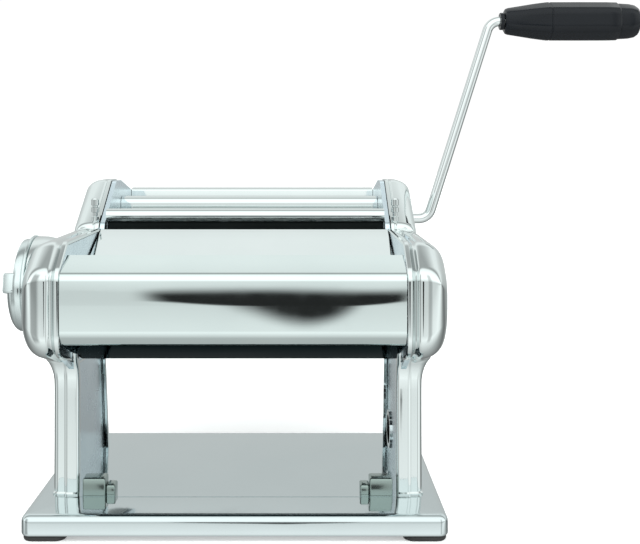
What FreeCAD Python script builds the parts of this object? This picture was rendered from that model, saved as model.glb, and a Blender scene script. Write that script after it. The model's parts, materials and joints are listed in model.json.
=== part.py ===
import FreeCAD, Part
import math
import os
import re
import Sketcher

# A hand-cranked pasta machine, in millimetres. Machine frame while drawing: X to the right,
# Y away from the user, Z up, with X = 0 on the middle plane, Y = 0 on the front edge of the
# base and Z = 0 on the table. Every finished piece is then placed so that the whole machine's
# box stands centred on the origin.

os.makedirs("parts", exist_ok=True)
document = FreeCAD.newDocument("pasta_roller_machine")
Vector = FreeCAD.Vector

SIZES = {
    # base tray and feet
    "base_width": 195.5, "base_depth": 133, "base_top": 12, "skirt_gap": 2.5,
    "tray_wall": 1.2, "tray_corner": 4.5, "tray_edge": 3.2, "crease_place": 24.5,
    "foot_width": 19, "foot_depth": 25, "foot_setback": 1.4,
    # side frames, legs and the bulging side covers
    "inner_width": 157, "plate": 2.5, "sheet": 0.8, "cover_wall": 1.4,
    "leg_inner": 76.5, "leg_width": 12.5, "leg_front": 27, "leg_rear": 106, "leg_waist": 97,
    "cover_inner": 78, "cover_reach": 97.3, "cover_front": -7.3, "cover_top": 136,
    "cover_rear": 91, "cover_low": 66, "cover_corner": 12.5, "cover_round": 11,
    "lap": 0.5, "running": 0.05, "free": 0.4,
    # smooth sheeting rollers
    "roller_radius": 14, "roller_half": 75, "roller_z": 109, "front_roller_y": 31.5,
    "widest_gap": 4.5, "closing": 4, "journal": 5, "bush_wall": 2, "bush_flange": 1,
    "gear_reach": 16.85, "gear_root": 11.25, "gear_width": 3.5, "gear_place": 83.9,
    "roller_teeth": 12, "block_half": 9, "flange_place": 81.3, "flange_plate": 2,
    # gap regulator
    "knob_y": 29, "knob_z": 113, "knob_radius": 22.3, "seat_ring": 1.7, "seat_radius": 24,
    "knob_disc": 5, "knob_bar": 3.7, "knob_bar_width": 9.5, "spindle": 4,
    "cam_low": 6, "cam_place": 88, "cam_width": 2, "window_half": 11, "window_front": 13,
    "window_rear": 10.5, "yoke_rim": 3, "cam_gear_place": 90.5, "cam_gear_width": 2.9, "sync_rod": 2.5,
    "sync_reach": 20, "sync_teeth": 16, "sync_addendum": 1.2, "sync_root": 8.5,
    "detent_circle": 15, "detent_hole": 1.3, "detent_track": 0.8, "detents": 10,
    # top covers
    "lip_y": 8, "lip_z": 129.8, "nose_z": 122.2, "chin_z": 90, "under_y": 40, "under_z": 75,
    "ramp_front": 58, "ramp_front_z": 123.5, "ramp_rear": 88.6, "ramp_rear_z": 135.5,
    "side_gap": 0.8,
    # lift-off cutting head behind the rollers
    "cutter_front": 92, "cutter_rear": 196, "cutter_peak": 160.5, "cutter_low": 88,
    "cutter_reach": 94.4, "cutter_inner": 80, "cutter_round": 5, "frame_shift": 1.2,
    "disc_radius": 11.5, "disc_overlap": 1.5, "disc_clearance": 0.3, "cut_width": 149.5,
    "wide_pitch": 13, "narrow_pitch": 4, "disc_gap": 0.3, "narrow_gap": 0.15, "cutter_journal": 4.5,
    "wide_y": 122, "wide_z": 124, "narrow_y": 170, "narrow_z": 135.5,
    "cutter_gear_place": 83.5, "cutter_gear_width": 6, "cutter_teeth": 12,
    "cutter_gear_reach": 12.2, "cutter_gear_root": 8.9,
    "bead_y": 101, "bead_z": 141.5, "bead_radius": 3.9, "ridge_y": 149.3, "ridge_z": 146.6,
    "divider_y": 145.2, "rail_pin": 2, "rail_y": 97, "rail_width": 2.2,
    # crank
    "rod_radius": 3, "socket_depth": 24, "key_half": 0.9, "key_depth": 6, "socket_mouth": 93.6,
    "crank_bend": 109.3,
    "crank_throw": 121.2, "crank_top": 147.6, "crank_round": 7.8,
    "grip_start": 156.1, "grip_length": 82.5, "grip_neck": 8, "grip_radius": 11.7,
    "grip_taper": 27, "grip_tail": 13,
    # fasteners and small pieces
    "clamp_y": 81, "clamp_z": 28.5, "clamp_bore": 7.5, "clamp_wall": 1.2,
    "screw_radius": 2, "screw_head": 3.6, "nut_radius": 3.2, "tie_radius": 3,
}

sheet = document.addObject("Spreadsheet::Sheet", "Sizes")
for row, (alias, size) in enumerate(SIZES.items(), start=1):
    sheet.set(f"A{row}", alias)
    sheet.set(f"B{row}", str(size))
    sheet.setAlias(f"B{row}", alias)
document.recompute()

# Sizes that follow from the ones above
HALF_INSIDE = "(inner_width / 2)"
PLATE_OUTER = "(inner_width / 2 + plate)"
DRIVE_Y = "(front_roller_y + 2 * roller_radius + widest_gap)"
KNOB_SEAT = "(cover_reach + seat_ring)"
KNOB_FACE = "(cover_reach + seat_ring + knob_disc + knob_bar)"
GRIP_END = "(grip_start + grip_length)"
MACHINE_X = f"(({KNOB_FACE} - {GRIP_END}) / 2)"
MACHINE_Y = "(-(cover_front - 1 + cutter_rear) / 2)"
SYNC_Y = "(knob_y - sync_reach * cos(15 deg))"
SYNC_Z = "(knob_z - sync_reach * sin(15 deg))"
PAIR_SPREAD = "((2 * disc_radius - disc_overlap) / 2)"
CORE_RADIUS = "(disc_radius - disc_overlap - disc_clearance)"
TRAY_TOP_INSIDE = "(base_top - tray_wall)"
COVER_SPAN = "(inner_width - 2 * side_gap)"
RAIL_X = "(inner_width / 2 + plate + 0.3)"
RAIL_LOW = "(cutter_low + 10)"
RAIL_HIGH = "(cutter_peak - 36)"
SCREW_X = "(inner_width / 2 + plate + nut_radius)"
CUTTER_PLATE_X = "(inner_width / 2 - plate + frame_shift)"
CUTTER_COVER_HALF = "(inner_width / 2 - plate + frame_shift - side_gap / 4)"
CRANK_Y = f"(narrow_y - {PAIR_SPREAD})"
CRANK_TOP_Z = "(narrow_z + crank_throw)"

# Places (Y, Z) of repeated fasteners and bushes
SCREW_PLACES = ("leg_front + 18", "leg_rear - 20")
TIE_PLACES = (("cover_front + 9", "cover_low + 34"),
              ("cover_rear - 9", "roller_z + roller_radius - 1"),
              (f"{DRIVE_Y} + 7", "cover_low + 18"))
BUSH_PLACES = ((f"wide_y - {PAIR_SPREAD}", "wide_z"), (f"wide_y + {PAIR_SPREAD}", "wide_z"),
               (f"narrow_y - {PAIR_SPREAD}", "narrow_z"), (f"narrow_y + {PAIR_SPREAD}", "narrow_z"))
CUTTER_TIES = (("bead_y + 1", "cutter_low + 18"), ("cutter_rear - 10", "cutter_low + 22"))

nodes = []


def formula(text):
    """Write an expression with the sheet's name before each size it uses."""
    return re.sub(r"[a-z_]+", lambda m: "Sizes." + m[0] if m[0] in SIZES else m[0], str(text))


def number(text):
    """Work an expression out, in millimetres."""
    result = sheet.evalExpression(formula(text))
    return float(getattr(result, "Value", result))


def bind(thing, **settings):
    """Tie properties of an object to expressions; Base_x means Placement.Base.x."""
    for name, text in settings.items():
        path = "Placement." + name.replace("_", ".") if name.startswith("Base_") else name
        thing.setExpression(path, formula(text))


def node(label, thing, x="0", y="0", z="0"):
    """Finish a piece: give it its name and its place in the machine's own frame."""
    thing.Label = label
    bind(thing, Base_x=f"{MACHINE_X} + {x}", Base_y=f"{MACHINE_Y} + {y}", Base_z=z)
    nodes.append(thing)
    return thing


def opposite_node(label, thing):
    """Finish the left-hand twin of a piece that is already placed."""
    twin = document.addObject("Part::Mirroring", label + "_twin")
    twin.Source = thing
    twin.Normal = Vector(1, 0, 0)
    twin.setExpression("Base.x", formula(MACHINE_X))
    twin.Label = label
    nodes.append(twin)
    return twin


def mirrored(thing):
    """The left-hand twin of a shape drawn about the middle plane."""
    twin = document.addObject("Part::Mirroring", thing.Name + "_mirrored")
    twin.Source = thing
    twin.Normal = Vector(1, 0, 0)
    return twin


def block(x, y, z, length, width, height):
    """A box from its lowest corner and its three sides."""
    thing = document.addObject("Part::Box", "block")
    bind(thing, Length=length, Width=width, Height=height, Base_x=x, Base_y=y, Base_z=z)
    return thing


def bar(x, y, z, radius, length, upright=False):
    """A round bar along +X, or along +Z when upright, from the centre of its first end."""
    thing = document.addObject("Part::Cylinder", "bar")
    if not upright:
        thing.Placement.Rotation = FreeCAD.Rotation(Vector(0, 1, 0), 90)
    bind(thing, Radius=radius, Height=length, Base_x=x, Base_y=y, Base_z=z)
    return thing


def joined(name, things):
    """Several shapes melted into one."""
    thing = document.addObject("Part::MultiFuse", name)
    thing.Shapes = things
    return thing


def cut(name, base, tools):
    """A shape with others taken out of it."""
    thing = document.addObject("Part::Cut", name)
    thing.Base = base
    thing.Tool = tools[0] if len(tools) == 1 else joined(name + "_tools", tools)
    return thing


def group(name, things):
    """Separate solids kept under one name."""
    thing = document.addObject("Part::Compound", name)
    thing.Links = things
    return thing


def new_body(name):
    return document.addObject("PartDesign::Body", name)


def origin_item(body, role):
    return next(item for item in body.Origin.OriginFeatures if item.Role == role)


def empty_sketch(body, role, level="0"):
    """A sketch on one of the body's own planes, moved along the plane's normal by level."""
    sketch = body.newObject("Sketcher::SketchObject", body.Name + "_sketch")
    sketch.AttachmentSupport = (origin_item(body, role), [""])
    sketch.MapMode = "FlatFace"
    sketch.setExpression("AttachmentOffset.Base.z", formula(level))
    return sketch


def draw_outline(sketch, corners, closed=True):
    """Draw straight runs through corners (across, up, radius) with rounded corners."""
    points = [Vector(number(across), number(up), 0) for across, up, _ in corners]
    count = len(points)
    runs = count if closed else count - 1
    for run in range(runs):
        sketch.addGeometry(Part.LineSegment(points[run], points[(run + 1) % count]), False)
    for run in range(runs if closed else runs - 1):
        sketch.addConstraint(Sketcher.Constraint("Coincident", run, 2, (run + 1) % count, 1))
    for place, (across, up, _) in enumerate(corners):
        run, end = (place, 1) if place < runs else (runs - 1, 2)
        for kind, text, part in (("DistanceX", across, 0), ("DistanceY", up, 1)):
            rule = Sketcher.Constraint(kind, -1, 1, run, end, points[place][part])
            index = sketch.addConstraint(rule)
            sketch.setExpression(f"Constraints[{index}]", formula(text))
    for place, (_, _, radius) in enumerate(corners):
        if radius:
            round_corner(sketch, points, place, radius)


def round_corner(sketch, points, place, radius):
    """Turn one corner of an outline into an arc whose radius stays tied to the sheet."""
    count = len(points)
    here = points[place]
    before = here + (points[place - 1] - here) * 0.1
    after = here + (points[(place + 1) % count] - here) * 0.1
    first_new = sketch.GeometryCount
    sketch.fillet((place - 1) % count, place, before, after, number(radius), True, True)
    for index in range(first_new, sketch.GeometryCount):
        if sketch.Geometry[index].TypeId == "Part::GeomArcOfCircle":
            rule = sketch.addConstraint(Sketcher.Constraint("Radius", index, number(radius)))
            sketch.setExpression(f"Constraints[{rule}]", formula(radius))


def pad_outline(body, role, level, length, corners, cutting=False):
    """Pad, or pocket, a rounded outline from one of the body's planes."""
    sketch = empty_sketch(body, role, level)
    draw_outline(sketch, corners)
    return pad_sketch(body, sketch, length, cutting)


def pad_sketch(body, sketch, length, cutting=False):
    kind = "PartDesign::Pocket" if cutting else "PartDesign::Pad"
    feature = body.newObject(kind, body.Name + ("_pocket" if cutting else "_pad"))
    feature.Profile = sketch
    if cutting:
        feature.Reversed = True
    feature.setExpression("Length", formula(length))
    return feature


def round_step(body, level, length, radius, cutting=False, across="0", up="0"):
    """A round pad or pocket along +X, centred on the body's X axis unless moved."""
    sketch = empty_sketch(body, "YZ_Plane", level)
    centre = Vector(number(across), number(up), 0)
    sketch.addGeometry(Part.Circle(centre, Vector(0, 0, 1), number(radius)), False)
    for rule, text in ((Sketcher.Constraint("DistanceX", -1, 1, 0, 3, centre.x), across),
                       (Sketcher.Constraint("DistanceY", -1, 1, 0, 3, centre.y), up),
                       (Sketcher.Constraint("Radius", 0, number(radius)), radius)):
        index = sketch.addConstraint(rule)
        sketch.setExpression(f"Constraints[{index}]", formula(text))
    return pad_sketch(body, sketch, length, cutting)


def rectangle(low_across, low_up, high_across, high_up, radius=None):
    """The four corners of an upright rectangle, rounded alike."""
    return [(low_across, low_up, radius), (high_across, low_up, radius),
            (high_across, high_up, radius), (low_across, high_up, radius)]


def round_edges(body, feature, wanted, radius):
    """Fillet the edges of a feature that the wanted test picks out."""
    document.recompute()
    chosen = [f"Edge{i}" for i, edge in enumerate(feature.Shape.Edges, start=1) if wanted(edge.BoundBox)]
    fillet = body.newObject("PartDesign::Fillet", body.Name + "_rounding")
    fillet.Base = (feature, chosen)
    fillet.setExpression("Radius", formula(radius))
    return fillet


def repeat_round(body, feature, count):
    """Repeat a feature all the way round the body's X axis."""
    pattern = body.newObject("PartDesign::PolarPattern", body.Name + "_ring")
    pattern.Originals = [feature]
    pattern.Axis = (origin_item(body, "X_Axis"), [""])
    pattern.Angle = 360
    pattern.setExpression("Occurrences", formula(count))
    body.Tip = pattern
    return pattern


def repeat_along(body, feature, pitch, count):
    """Repeat a feature along +X at a fixed pitch."""
    pattern = body.newObject("PartDesign::LinearPattern", body.Name + "_row")
    pattern.Originals = [feature]
    pattern.Direction = (origin_item(body, "X_Axis"), [""])
    pattern.setExpression("Length", formula(f"({pitch}) * ({count} - 1)"))
    pattern.setExpression("Occurrences", formula(count))
    body.Tip = pattern
    return pattern


def sheet_outline(path, thickness):
    """Outline of folded sheet metal: the path, then back along its left-hand side."""
    points = [Vector(number(across), number(up), 0) for across, up, _ in path]
    runs = [(end - start).normalize() for start, end in zip(points, points[1:])]
    back = []
    for place, (across, up, radius) in enumerate(path):
        before = runs[max(place - 1, 0)]
        after = runs[min(place, len(runs) - 1)]
        left_before = Vector(-before.y, before.x, 0)
        left_after = Vector(-after.y, after.x, 0)
        miter = (left_before + left_after) / (1 + left_before.dot(left_after))
        turns_left = before.cross(after).z > 0
        inner_radius = radius and f"{radius} {'-' if turns_left else '+'} {thickness}"
        back.append((f"{across} + {thickness} * {miter.x:.6f}",
                     f"{up} + {thickness} * {miter.y:.6f}", inner_radius))
    return path + back[::-1]


def bent_sheet(name, path, half_width, thickness="sheet"):
    """Sheet metal folded along a path (Y, Z, bend radius), with its thickness to the left."""
    body = new_body(name)
    pad_outline(body, "YZ_Plane", f"-({half_width})", f"2 * ({half_width})",
                sheet_outline(path, thickness))
    return body


def gear_body(name, level, width, reach, root, bore, teeth, phase):
    """A spur gear about the X axis with straight-sided teeth and a bore."""
    body = new_body(name)
    round_step(body, level, width, root)
    tooth_pitch = 2 * math.pi * number(root) / number(teeth)
    foot, tip = tooth_pitch * 0.24, tooth_pitch * 0.11
    sketch = empty_sketch(body, "YZ_Plane", level)
    turn = math.radians(phase)
    corners = []
    for out, side in ((number(root) - 0.5, -foot), (number(reach), -tip),
                      (number(reach), tip), (number(root) - 0.5, foot)):
        across = out * math.cos(turn) - side * math.sin(turn)
        up = out * math.sin(turn) + side * math.cos(turn)
        corners.append((across, up, None))
    draw_outline(sketch, corners)
    tooth = pad_sketch(body, sketch, width)
    repeat_round(body, tooth, teeth)
    round_step(body, level, width, bore, cutting=True)
    return body


# ---------------------------------------------------------------- base

def make_base():
    tray = new_body("tray")
    half = "base_width / 2"
    outer = pad_outline(tray, "XY_Plane", "skirt_gap", "base_top - skirt_gap",
                        rectangle(f"-{half}", "0", half, "base_depth", "tray_corner"))
    top = number("base_top")
    round_edges(tray, outer, lambda box: box.ZMin > top - 0.01, "tray_edge")
    inner = "base_width / 2 - tray_wall"
    pad_outline(tray, "XY_Plane", "skirt_gap", f"{TRAY_TOP_INSIDE} - skirt_gap",
                rectangle(f"-({inner})", "tray_wall", inner, "base_depth - tray_wall",
                          "tray_corner - tray_wall"), cutting=True)
    crease = "base_width / 2 - tray_edge - 1"
    pad_outline(tray, "XY_Plane", "base_top - tray_wall / 4", "tray_wall",
                rectangle(f"-({crease})", "crease_place", crease, "crease_place + 0.8"), cutting=True)
    drilled = cut("drilled_tray", tray, [
        bar(f"{side} * {SCREW_X}", place, "0", "screw_radius + running", "base_top + 1", True)
        for side in (1, -1) for place in SCREW_PLACES])
    node("base_plate", drilled)

    feet = []
    for side in (1, -1):
        for place in ("foot_setback", "base_depth - foot_setback - foot_depth"):
            foot = new_body("foot")
            middle = f"{side} * (base_width / 2 - foot_setback - foot_width / 2)"
            rubber = pad_outline(foot, "XY_Plane", "0", TRAY_TOP_INSIDE,
                                 rectangle(f"{middle} - foot_width / 2", place,
                                           f"{middle} + foot_width / 2", f"{place} + foot_depth", "4"))
            round_edges(foot, rubber, lambda box: box.ZMax < 0.01, "1")
            feet.append(foot)
    node("rubber_feet", group("feet", feet))


def make_foot_fasteners():
    screws = []
    nuts = []
    for side in (1, -1):
        for place in SCREW_PLACES:
            x = f"{side} * {SCREW_X}"
            head = bar(x, place, f"{TRAY_TOP_INSIDE} - 2", "screw_head", "2", True)
            shank = bar(x, place, f"{TRAY_TOP_INSIDE} - 2", "screw_radius", "8", True)
            screws.append(joined("base_screw", [head, shank]))
            hexagon = document.addObject("Part::Prism", "nut_blank")
            hexagon.Polygon = 6
            hexagon.Placement.Rotation = FreeCAD.Rotation(Vector(0, 0, 1), 30)
            bind(hexagon, Circumradius="nut_radius", Height="2.4", Base_x=x, Base_y=place,
                 Base_z="base_top + 1.6")
            bore = bar(x, place, "base_top", "screw_radius + running", "6", True)
            nuts.append(cut("base_nut", hexagon, [bore]))
    node("base_screws", group("screws", screws))
    node("base_nuts", group("nuts", nuts))

    brackets = []
    for side in (1, -1):
        outer = block("leg_inner - 13", "crease_place + 1", "base_top", "11", "9", "8.4")
        inner = block("leg_inner - 17.5", "crease_place + 2", "base_top", "4.5", "8", "5")
        bracket = joined("bracket", [outer, inner])
        brackets.append(bracket if side > 0 else mirrored(bracket))
    node("foot_brackets", group("brackets", brackets))


# ---------------------------------------------------------------- side frames and covers

def head_outline(inset):
    """Profile (Y, Z) of the bulging side cover, drawn in by an inset."""
    corner = f"cover_corner - {inset}"
    return [(f"cover_front + {inset}", f"cover_low + 19.7 + 0.6 * {inset}", corner),
            (f"cover_front + {inset}", f"cover_top - 12.5 - 0.7 * {inset}", f"8.5 - {inset}"),
            (f"cover_front + 17 + 0.4 * {inset}", f"cover_top - {inset}", f"9.5 - {inset}"),
            (f"cover_rear - {inset}", f"cover_top - {inset}", f"5 - {inset}"),
            (f"cover_rear - {inset}", f"cover_low + {inset}", corner),
            (f"cover_front + 42.7", f"cover_low + {inset}", corner)]


def leg_outline(inset):
    """Profile (Y, Z) of the leg under the side cover, drawn in by an inset."""
    return [(f"leg_front + {inset}", "base_top", None),
            (f"leg_front + {inset}", "cover_low + 20", None),
            (f"cover_rear - 4 - {inset}", "cover_low + 20", None),
            (f"leg_waist - {inset}", "cover_low - 4", None),
            (f"leg_rear - {inset}", "base_top", None)]


def bulging_block(name, inset):
    """Head and leg of a side cover as one solid, smaller by the inset all round."""
    head = new_body(name + "_head")
    depth = f"cover_reach - cover_inner - {inset}"
    pad = pad_outline(head, "YZ_Plane", "cover_inner", depth, head_outline(inset))
    face = number(f"cover_reach - {inset}")
    round_edges(head, pad, lambda box: box.XMin > face - 0.01, f"cover_round - {inset}")
    leg = new_body(name + "_leg")
    leg_pad = pad_outline(leg, "YZ_Plane", "leg_inner", f"leg_width - {inset}", leg_outline(inset))
    side = number(f"leg_inner + leg_width - {inset}")
    foot = number("base_top")
    round_edges(leg, leg_pad,
                lambda box: box.XMin > side - 0.01 and box.ZMax > foot + 1 and box.ZLength > 20,
                f"5 - {inset}")
    return joined(name, [head, leg])


def make_side_covers():
    outside = bulging_block("cover_outside", "0")
    inside = bulging_block("cover_inside", "cover_wall")
    opening = bulging_opening()
    rail_slot = block(f"{RAIL_X} - free / 2", "cover_rear - cover_wall - 2", f"{RAIL_LOW} - free",
                      "rail_width + free", "cover_wall + 4", f"{RAIL_HIGH} - {RAIL_LOW} + 2 * free")
    shell = cut("cover_shell", outside, [inside, opening, rail_slot])
    crank_hole = bar("cover_inner", DRIVE_Y, "roller_z", "journal + 1.5", "cover_reach")
    node("right_side_cover", cut("right_shell", shell, [crank_hole]))
    spindle_hole = bar("-cover_reach - 5", "knob_y", "knob_z", "spindle + running", "30")
    node("left_side_cover", cut("left_shell", mirrored(shell), [spindle_hole]))


def bulging_opening():
    """The open mouth of a side cover, towards the frame plate."""
    mouth = new_body("cover_mouth")
    pad_outline(mouth, "YZ_Plane", "leg_inner - 1", "cover_inner - leg_inner + 2",
                head_outline("cover_wall"))
    stem = new_body("cover_stem")
    pad_outline(stem, "YZ_Plane", "leg_inner - 1", "leg_width / 2", leg_outline("cover_wall"))
    return joined("cover_opening", [mouth, stem])


def make_side_frames():
    frame = new_body("frame")
    pad_outline(frame, "YZ_Plane", HALF_INSIDE, "plate", [
        ("leg_front + 2", "base_top", None), ("leg_front + 2", "cover_low + 5.5", "2"),
        ("cover_front + 3", "cover_low + 21.4", "8"), ("cover_front + 3", "cover_top - 14", "6"),
        ("cover_front + 18", "cover_top - 2.2", "8"), ("cover_rear - 2.2", "cover_top - 2.2", "4"),
        ("cover_rear - 2.2", "cover_low + 2", "8"), ("leg_waist - 2.4", "cover_low - 5", "8"),
        ("leg_rear - 2.4", "base_top", None)])
    flange = "leg_front + 10"
    pad_outline(frame, "XY_Plane", "base_top", "1.6",
                rectangle(HALF_INSIDE, flange, "leg_inner + leg_width - cover_wall - lap",
                          "leg_rear - 12"))
    slot_low = "roller_z - block_half - running"
    pad_outline(frame, "YZ_Plane", HALF_INSIDE, "plate", rectangle(
        "front_roller_y - block_half - running", slot_low,
        "front_roller_y + block_half + closing + running", "roller_z + block_half + running"),
        cutting=True)
    round_step(frame, HALF_INSIDE, "plate", "journal + bush_wall + running", True, DRIVE_Y, "roller_z")
    round_step(frame, HALF_INSIDE, "plate", "sync_rod + running", True, SYNC_Y, SYNC_Z)
    drilled = cut("drilled_frame", frame, [
        bar(SCREW_X, place, "base_top - 1", "screw_radius + running", "4", True)
        for place in SCREW_PLACES])
    clamp_hole = bar("leg_inner", "clamp_y", "clamp_z", "clamp_bore + clamp_wall + running", "plate + 4")
    node("right_side_frame", cut("right_frame", drilled, [clamp_hole]))
    node("left_side_frame", mirrored(drilled))
    sleeve = bar(f"{HALF_INSIDE} - 0.6", "clamp_y", "clamp_z", "clamp_bore + clamp_wall", "8.6")
    rim = bar(f"{HALF_INSIDE} - 1", "clamp_y", "clamp_z", "clamp_bore + 2.6", "1")
    bore = bar("leg_inner - 1", "clamp_y", "clamp_z", "clamp_bore", "20")
    node("clamp_bush", cut("clamp_ferrule", joined("clamp_sleeve", [sleeve, rim]), [bore]))
    rods = [bar(f"-{HALF_INSIDE}", y, z, "tie_radius", "inner_width") for y, z in TIE_PLACES]
    node("tie_rods", group("ties", rods))


# ---------------------------------------------------------------- sheet covers of the roller part

def make_sheet_covers():
    half = f"{COVER_SPAN} / 2"
    front = "cover_front - 1"
    node("front_cover", bent_sheet("front_sheet", [
        ("lip_y", "lip_z", None), ("cover_front - 0.3", "nose_z", "5"), (front, "nose_z - 12", "25"),
        ("cover_front - 0.7", "chin_z + 6", "6"), ("cover_front + 5", "chin_z", "5"),
        ("under_y", "under_z", None)], half))
    node("feed_ramp", bent_sheet("ramp_sheet", [
        ("ramp_rear + 0.6", "ramp_rear_z - 5", None), ("ramp_rear", "ramp_rear_z", "1.5"),
        ("ramp_front", "ramp_front_z", None)], half))
    node("rear_cover", bent_sheet("rear_sheet", [
        (f"{DRIVE_Y}", "under_z + 2", None), ("ramp_rear + 1.9", "under_z + 8", "6"),
        ("ramp_rear + 1.9", "ramp_rear_z - 3", None)], half))
    scraper_half = f"{HALF_INSIDE} - free"
    scrapers = []
    for y in ("front_roller_y + closing / 2 - 0.5", f"{DRIVE_Y} + 1.5"):
        top = "roller_z - roller_radius - disc_clearance"
        blade = block(f"-({scraper_half})", y, "under_z + 6", f"2 * ({scraper_half})", "1",
                      f"{top} - under_z - 6")
        rib = block(f"-({scraper_half})", f"{y} - 2", "under_z + 6", f"2 * ({scraper_half})", "3", "3")
        scrapers.append(joined("scraper", [blade, rib]))
    node("roller_scrapers", group("scrapers", scrapers))


# ---------------------------------------------------------------- smooth rollers

def cut_crank_socket(body, mouth):
    """A round socket with a cross slot for the crank's key, open at the right-hand end."""
    round_step(body, f"{mouth} - socket_depth", "socket_depth", "rod_radius + running", cutting=True)
    pad_outline(body, "YZ_Plane", f"{mouth} - key_depth", "key_depth",
                rectangle("-key_half - free / 4", "-journal - 1", "key_half + free / 4", "journal + 1"),
                cutting=True)


def make_smooth_rollers():
    drive = new_body("drive_shaft")
    round_step(drive, "-roller_half", "2 * roller_half", "roller_radius")
    round_step(drive, f"-{PLATE_OUTER}", f"{PLATE_OUTER} + cover_reach - cover_wall", "journal")
    cut_crank_socket(drive, "cover_reach - cover_wall")
    node("smooth_drive_roller", drive, y=DRIVE_Y, z="roller_z")
    adjustable = new_body("adjustable_shaft")
    round_step(adjustable, "-roller_half", "2 * roller_half", "roller_radius")
    round_step(adjustable, f"-{PLATE_OUTER}", f"{PLATE_OUTER} + gear_place + gear_width", "journal")
    node("smooth_adjustable_roller", adjustable, y="front_roller_y", z="roller_z")
    for label, y, phase in (("drive_roller_gear", DRIVE_Y, 180), ("adjustable_roller_gear",
                                                                   "front_roller_y", 15)):
        gear = gear_body(label + "_wheel", "gear_place", "gear_width", "gear_reach", "gear_root",
                         "journal + running", "roller_teeth", phase)
        node(label, gear, y=y, z="roller_z")

    bushes = []
    for side in (1, -1):
        bush = new_body("bush")
        round_step(bush, HALF_INSIDE, "plate + 0.3", "journal + bush_wall")
        round_step(bush, f"{HALF_INSIDE} - bush_flange", "bush_flange", "journal + bush_wall + 1.5")
        round_step(bush, f"{HALF_INSIDE} - bush_flange", "plate + bush_flange + 0.3",
                   "journal + running", cutting=True)
        bushes.append(bush if side > 0 else mirrored(bush))
    node("drive_roller_bushes", group("bushes", bushes), y=DRIVE_Y, z="roller_z")


# ---------------------------------------------------------------- gap regulator

def make_bearing_blocks():
    y, z = "front_roller_y", "roller_z"
    slider = block(HALF_INSIDE, f"{y} - block_half", f"{z} - block_half", "plate + 0.3",
                   "2 * block_half", "2 * block_half")
    front_edge = "knob_y - window_front - yoke_rim"
    flange_rear = f"{y} + block_half + 2 - ({front_edge})"
    flange = block("flange_place", front_edge, f"{z} - block_half - 2", "flange_plate",
                   flange_rear, "2 * block_half + 4")
    arm = block("flange_place", front_edge, f"{z} - block_half - 2",
                "cam_place + cam_width - flange_place", "yoke_rim - 1.8", "2 * block_half + 4")
    yoke = block("cam_place", front_edge, "knob_z - window_half - yoke_rim", "cam_width",
                 "window_front + window_rear + 2 * yoke_rim",
                 "2 * window_half + 2 * yoke_rim")
    window = block("cam_place - 1", "knob_y - window_front", "knob_z - window_half", "cam_width + 2",
                   "window_front + window_rear", "2 * window_half")
    nose = new_body("cam_nose")
    tip = "knob_y + cam_low + 3 * running"
    pad_outline(nose, "YZ_Plane", "cam_place", "cam_width", [
        (tip, "knob_z - 0.15", None), ("knob_y + window_rear + 1", "knob_z - 2.6", None),
        ("knob_y + window_rear + 1", "knob_z + 2.6", None), (tip, "knob_z + 0.15", None)])
    bore = bar("leg_inner", y, z, "journal + running", "20")
    frame = cut("yoke_frame", joined("block_blank", [slider, flange, arm, yoke]), [window, bore])
    carrier = joined("bearing_block", [frame, nose])
    node("right_bearing_block", carrier)
    opposite_node("left_bearing_block", carrier)


def cam_shape():
    """A spiral disc: its radius grows evenly over nine tenths of a turn, then drops back."""
    low = number("cam_low")
    rise = number("closing")
    working = 360 * (number("detents") - 1) / number("detents")
    points = []
    for step in range(37):
        angle = step * working / 36
        radius = low + rise * angle / working
        points.append(polar_point(radius, -angle))
    spiral = Part.BSplineCurve()
    spiral.interpolate(points)
    back = Part.LineSegment(points[-1], points[0])
    outline = Part.Wire([spiral.toShape(), back.toShape()])
    disc = Part.Face(outline).extrude(Vector(number("cam_width"), 0, 0))
    bore = Part.makeCylinder(number("spindle + running"), 10, Vector(-1, 0, 0), Vector(1, 0, 0))
    return disc.cut(bore)


def polar_point(radius, degrees):
    turn = math.radians(degrees)
    return Vector(0, radius * math.cos(turn), radius * math.sin(turn))


def make_regulator():
    for label, x in (("right_gap_cam", "cam_place"), ("left_gap_cam", "-cam_place - cam_width")):
        cam = document.addObject("Part::Feature", label + "_disc")
        cam.Shape = cam_shape()
        node(label, cam, x=x, y="knob_y", z="knob_z")
    places = {"right": "cam_gear_place", "left": "-cam_gear_place - cam_gear_width"}
    for hand, level in places.items():
        reach = "sync_reach / 2 + sync_addendum"
        cam_gear = gear_body(hand + "_cam_wheel", level, "cam_gear_width", reach, "sync_root",
                             "spindle + running", "sync_teeth", 15)
        node(hand + "_cam_gear", cam_gear, y="knob_y", z="knob_z")
        sync_gear = gear_body(hand + "_sync_wheel", level, "cam_gear_width", reach, "sync_root",
                              "sync_rod + running", "sync_teeth", 15 + 11.25)
        node(hand + "_sync_gear", sync_gear, y=SYNC_Y, z=SYNC_Z)
    rod_half = "cam_gear_place + cam_gear_width"
    rod = bar("0", "0", "0", "sync_rod", f"2 * ({rod_half})")
    node("sync_rod", rod, x=f"-({rod_half})", y=SYNC_Y, z=SYNC_Z)
    start = "gear_place + gear_width + free / 2"
    axle = bar("0", "0", "0", "spindle", f"cover_reach - cover_wall - ({start})")
    node("right_cam_axle", axle, x=start, y="knob_y", z="knob_z")

    spindle = new_body("spindle_shaft")
    reach = f"{KNOB_SEAT} + knob_disc - 1.5"
    round_step(spindle, f"-({reach})", f"{reach} - cam_place + 1", "spindle")
    round_step(spindle, f"-({reach})", "6", "1.25", cutting=True)
    node("knob_spindle", spindle, y="knob_y", z="knob_z")
    make_knob()


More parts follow.
